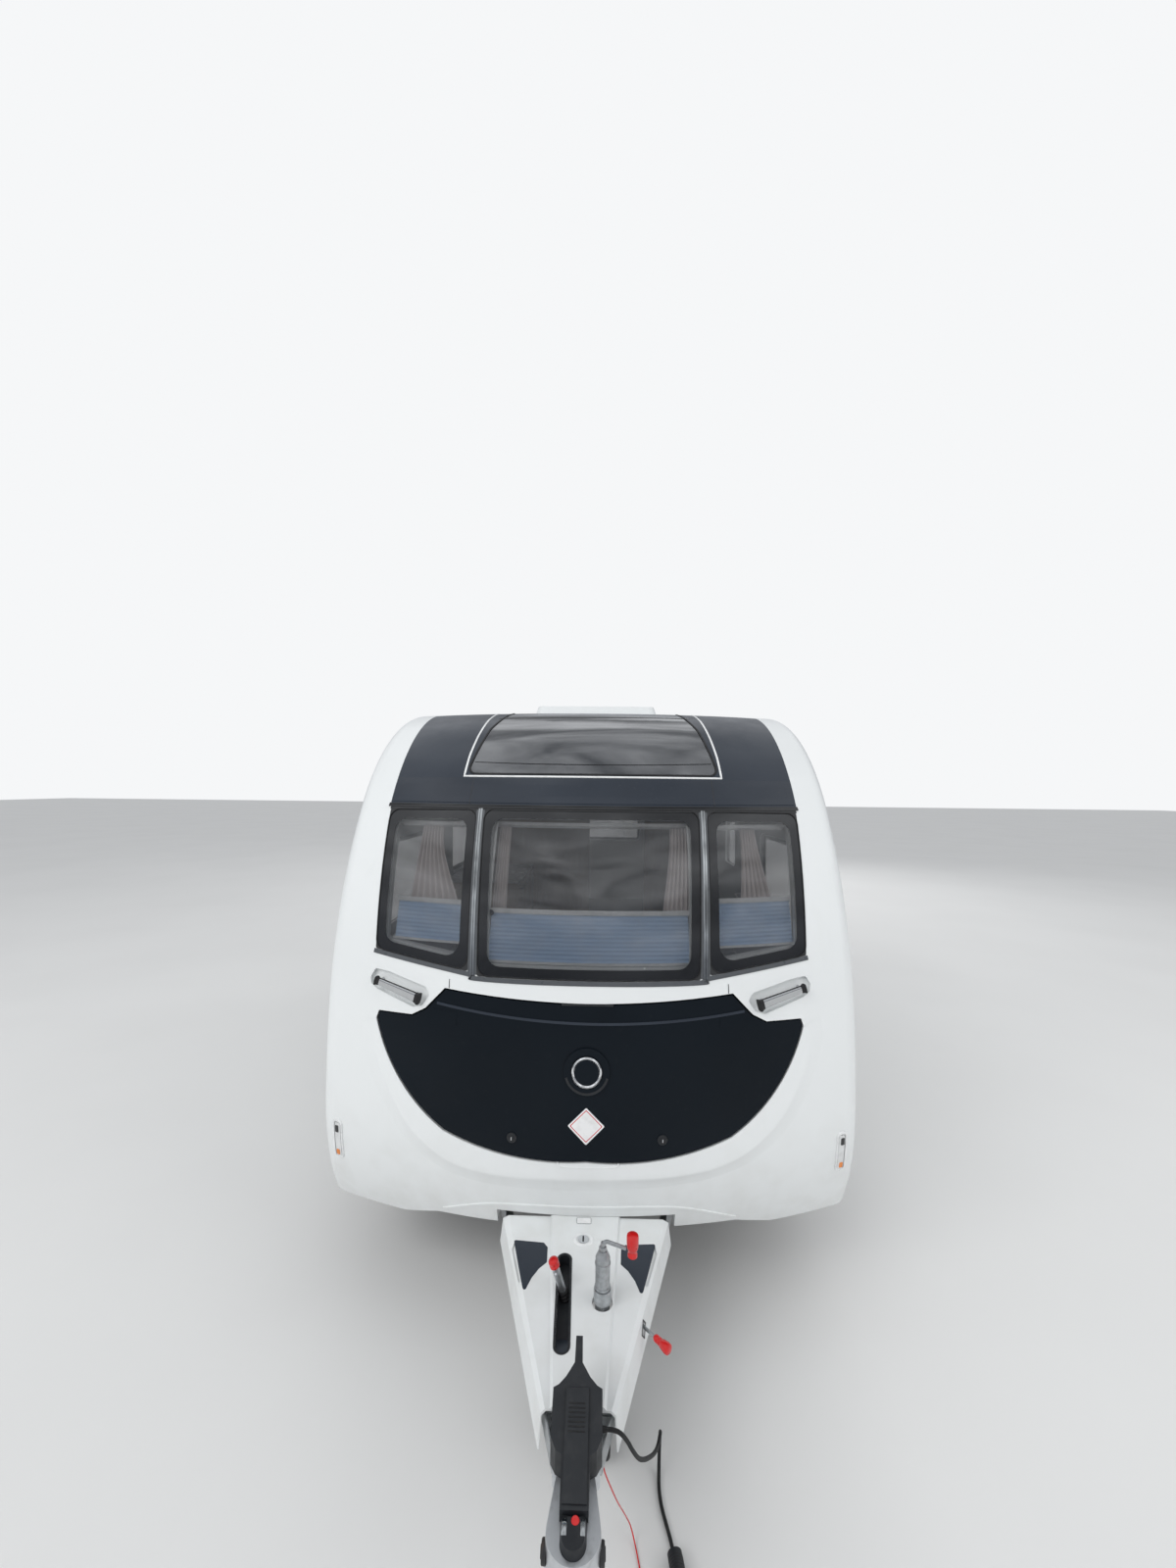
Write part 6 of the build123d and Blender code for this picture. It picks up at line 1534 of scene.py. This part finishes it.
# Wheels: the axle's place, and the tyre's radius and half its width

AXLE_Y = 0.860
AXLE_Z = 0.307
TREAD_R = 0.307
TYRE_HALF = 0.0925


def tread_depth(x, r, i):
    """The depth of the grooves, sipes and shoulder cuts at a point of the tyre's section, i steps round it."""
    away = abs(x)
    if away >= TYRE_HALF - 0.018:
        return 0.0022 if r > TREAD_R - 0.034 and i % 8 < 2 else 0.0
    if min(abs(away - 0.012), abs(away - 0.040)) < 0.0034:
        return 0.0068
    if away > 0.044 and (i + int(away * 160)) % 8 < 2:
        return 0.0050
    if away < 0.036 and (i + int(away * 260) + (2 if x > 0 else 0)) % 12 < 1:
        return 0.0038
    return 0.0


def add_tyres():
    """Road tyres with ribs, grooves, sipes and sidewall rings, on the CAD tyre's own section."""
    foot, bead = 0.178, 0.060
    shoulder = (TYRE_HALF - 0.020, TREAD_R - 0.012)
    wall = [
        (x - (0.0012 if 0.222 < r < 0.226 or 0.254 < r < 0.258 else 0.0), r)
        for x, r in arc_through((bead + 0.006, foot + 0.016), (TYRE_HALF, foot + 0.064), shoulder, 34)
    ]
    crown = arc_through(shoulder, (0.0, TREAD_R), (-shoulder[0], shoulder[1]), 48)
    section = [(bead, foot)] + wall + crown[1:-1] + mirrored(wall) + [(-bead, foot)]
    turns = 288
    for side, name in SIDES:
        middle = side * (1.080 - TYRE_HALF)
        rings = []
        for i in range(turns):
            a = 2 * math.pi * i / turns
            ring = []
            for x, r in section:
                cut = r - tread_depth(x, r, i)
                ring.append(Vector((middle + x, AXLE_Y + cut * math.cos(a), AXLE_Z + cut * math.sin(a))))
            rings.append(ring)
        rings.append(rings[0])
        tyre = piece(f"road_tyre_{name}", loft_rings(rings, cap=False), "tyre", f"road_wheel_{name}", sharp=32)
        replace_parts(tyre, f"tyre_{name}")


def wheel_spot(radius, angle):
    """A step out from the wheel's centre, in the wheel's own plane."""
    return Vector((0, radius * math.cos(angle), radius * math.sin(angle)))


def add_rim_details():
    """Five bolts, the centre cap, spoke ridges, the rim's lip and the valve."""
    bolt = [(0, 0.0105), (0.012, 0.0105), (0.015, 0.0085), (0.015, 0)]
    washer = [(0, 0.0135), (0.0035, 0.0135), (0.0040, 0.0120), (0.0040, 0.0)]
    dome = [(0, 0.036), (0.010, 0.036), (0.016, 0.033), (0.0185, 0.026), (0.0190, 0.0)]
    edge = [(-0.004, 0.1865), (0, 0.1895), (0.0008, 0.1890), (0.0008, 0.1790), (-0.004, 0.1770)]
    valve = [(0, 0.0045), (0.020, 0.0045), (0.022, 0.0040), (0.030, 0.0040), (0.030, 0)]
    for side, name in SIDES:
        body = f"road_wheel_{name}"
        centre = Vector((side * 1.032, AXLE_Y, AXLE_Z))
        axis = Vector((side, 0, 0))
        bolts, spokes = [], []
        for k in range(5):
            a = math.radians(54 + 72 * k)
            at = centre + wheel_spot(0.056, a) - axis * 0.002
            bolts += [turned(at, axis, bolt, 6), turned(at, axis, washer, 20)]
            for bend in (-0.16, 0.16):
                line = []
                for t in (0, 0.2, 0.4, 0.6, 0.8, 1.0):
                    rise = axis * (0.0028 + 0.0025 * math.sin(math.pi * t))
                    line.append(centre + rise + wheel_spot(0.078 + 0.088 * t, a + bend * (0.35 + 0.65 * t)))
                spokes.append(tube(line, [0.0030, 0.0045, 0.0050, 0.0050, 0.0045, 0.0030], 8))
        piece(f"wheel_bolts_{name}", bolts, "chrome", body)
        piece(f"wheel_cap_{name}", turned(centre - axis * 0.002, axis, dome, 40), "black_plastic", body)
        piece(f"wheel_spokes_{name}", spokes, "alloy", body)
        lip = turned((side * 1.0628, AXLE_Y, AXLE_Z), axis, edge, 72, hole=True)
        piece(f"wheel_lip_{name}", lip, "alloy", body)
        valve_at = centre + wheel_spot(0.150, 0.95) - axis * 0.004
        piece(f"wheel_valve_{name}", turned(valve_at, axis, valve, 12), "rubber", body)


def add_under_body():
    """Brake rod and waste pipes under the floor."""
    rod = tube([(0, -2.790, 0.412), (0, -1.5, 0.405), (0, 0.0, 0.400), (0, 0.652, 0.392)], 0.006, 10)
    piece("brake_rod", rod, "galvanised")
    pipes = []
    for x in (-0.62, -0.67):
        pipes.append(tube([(x, -0.30, 0.530), (x, 0.10, 0.532), (x, 0.30, 0.534)], 0.014, 12))
        pipes.append(tube([(x, 1.40, 0.534), (x, 2.20, 0.528), (x, 2.90, 0.520), (x - 0.06, 2.98, 0.500),
                           (x - 0.30, 3.02, 0.480)], 0.014, 12))
    piece("waste_pipes", pipes, "rubber")


add_camera()
add_studio()
add_cords()
add_skylight_trim()
add_skylight_details()
add_upper_band()
add_handle_ends()
add_window_trims()
add_lid_details()
add_lid_bevel()
add_front_details()
add_cover_details()
add_red_grips()
add_jockey_details()
add_coupling_details()
add_plug_details()
add_window_inside()
add_cushions()
add_furniture_fronts()
add_side_trims()
add_entrance_door_details()
add_small_door_details()
add_rear_details()
add_roof_details()
add_tyres()
add_rim_details()
add_under_body()
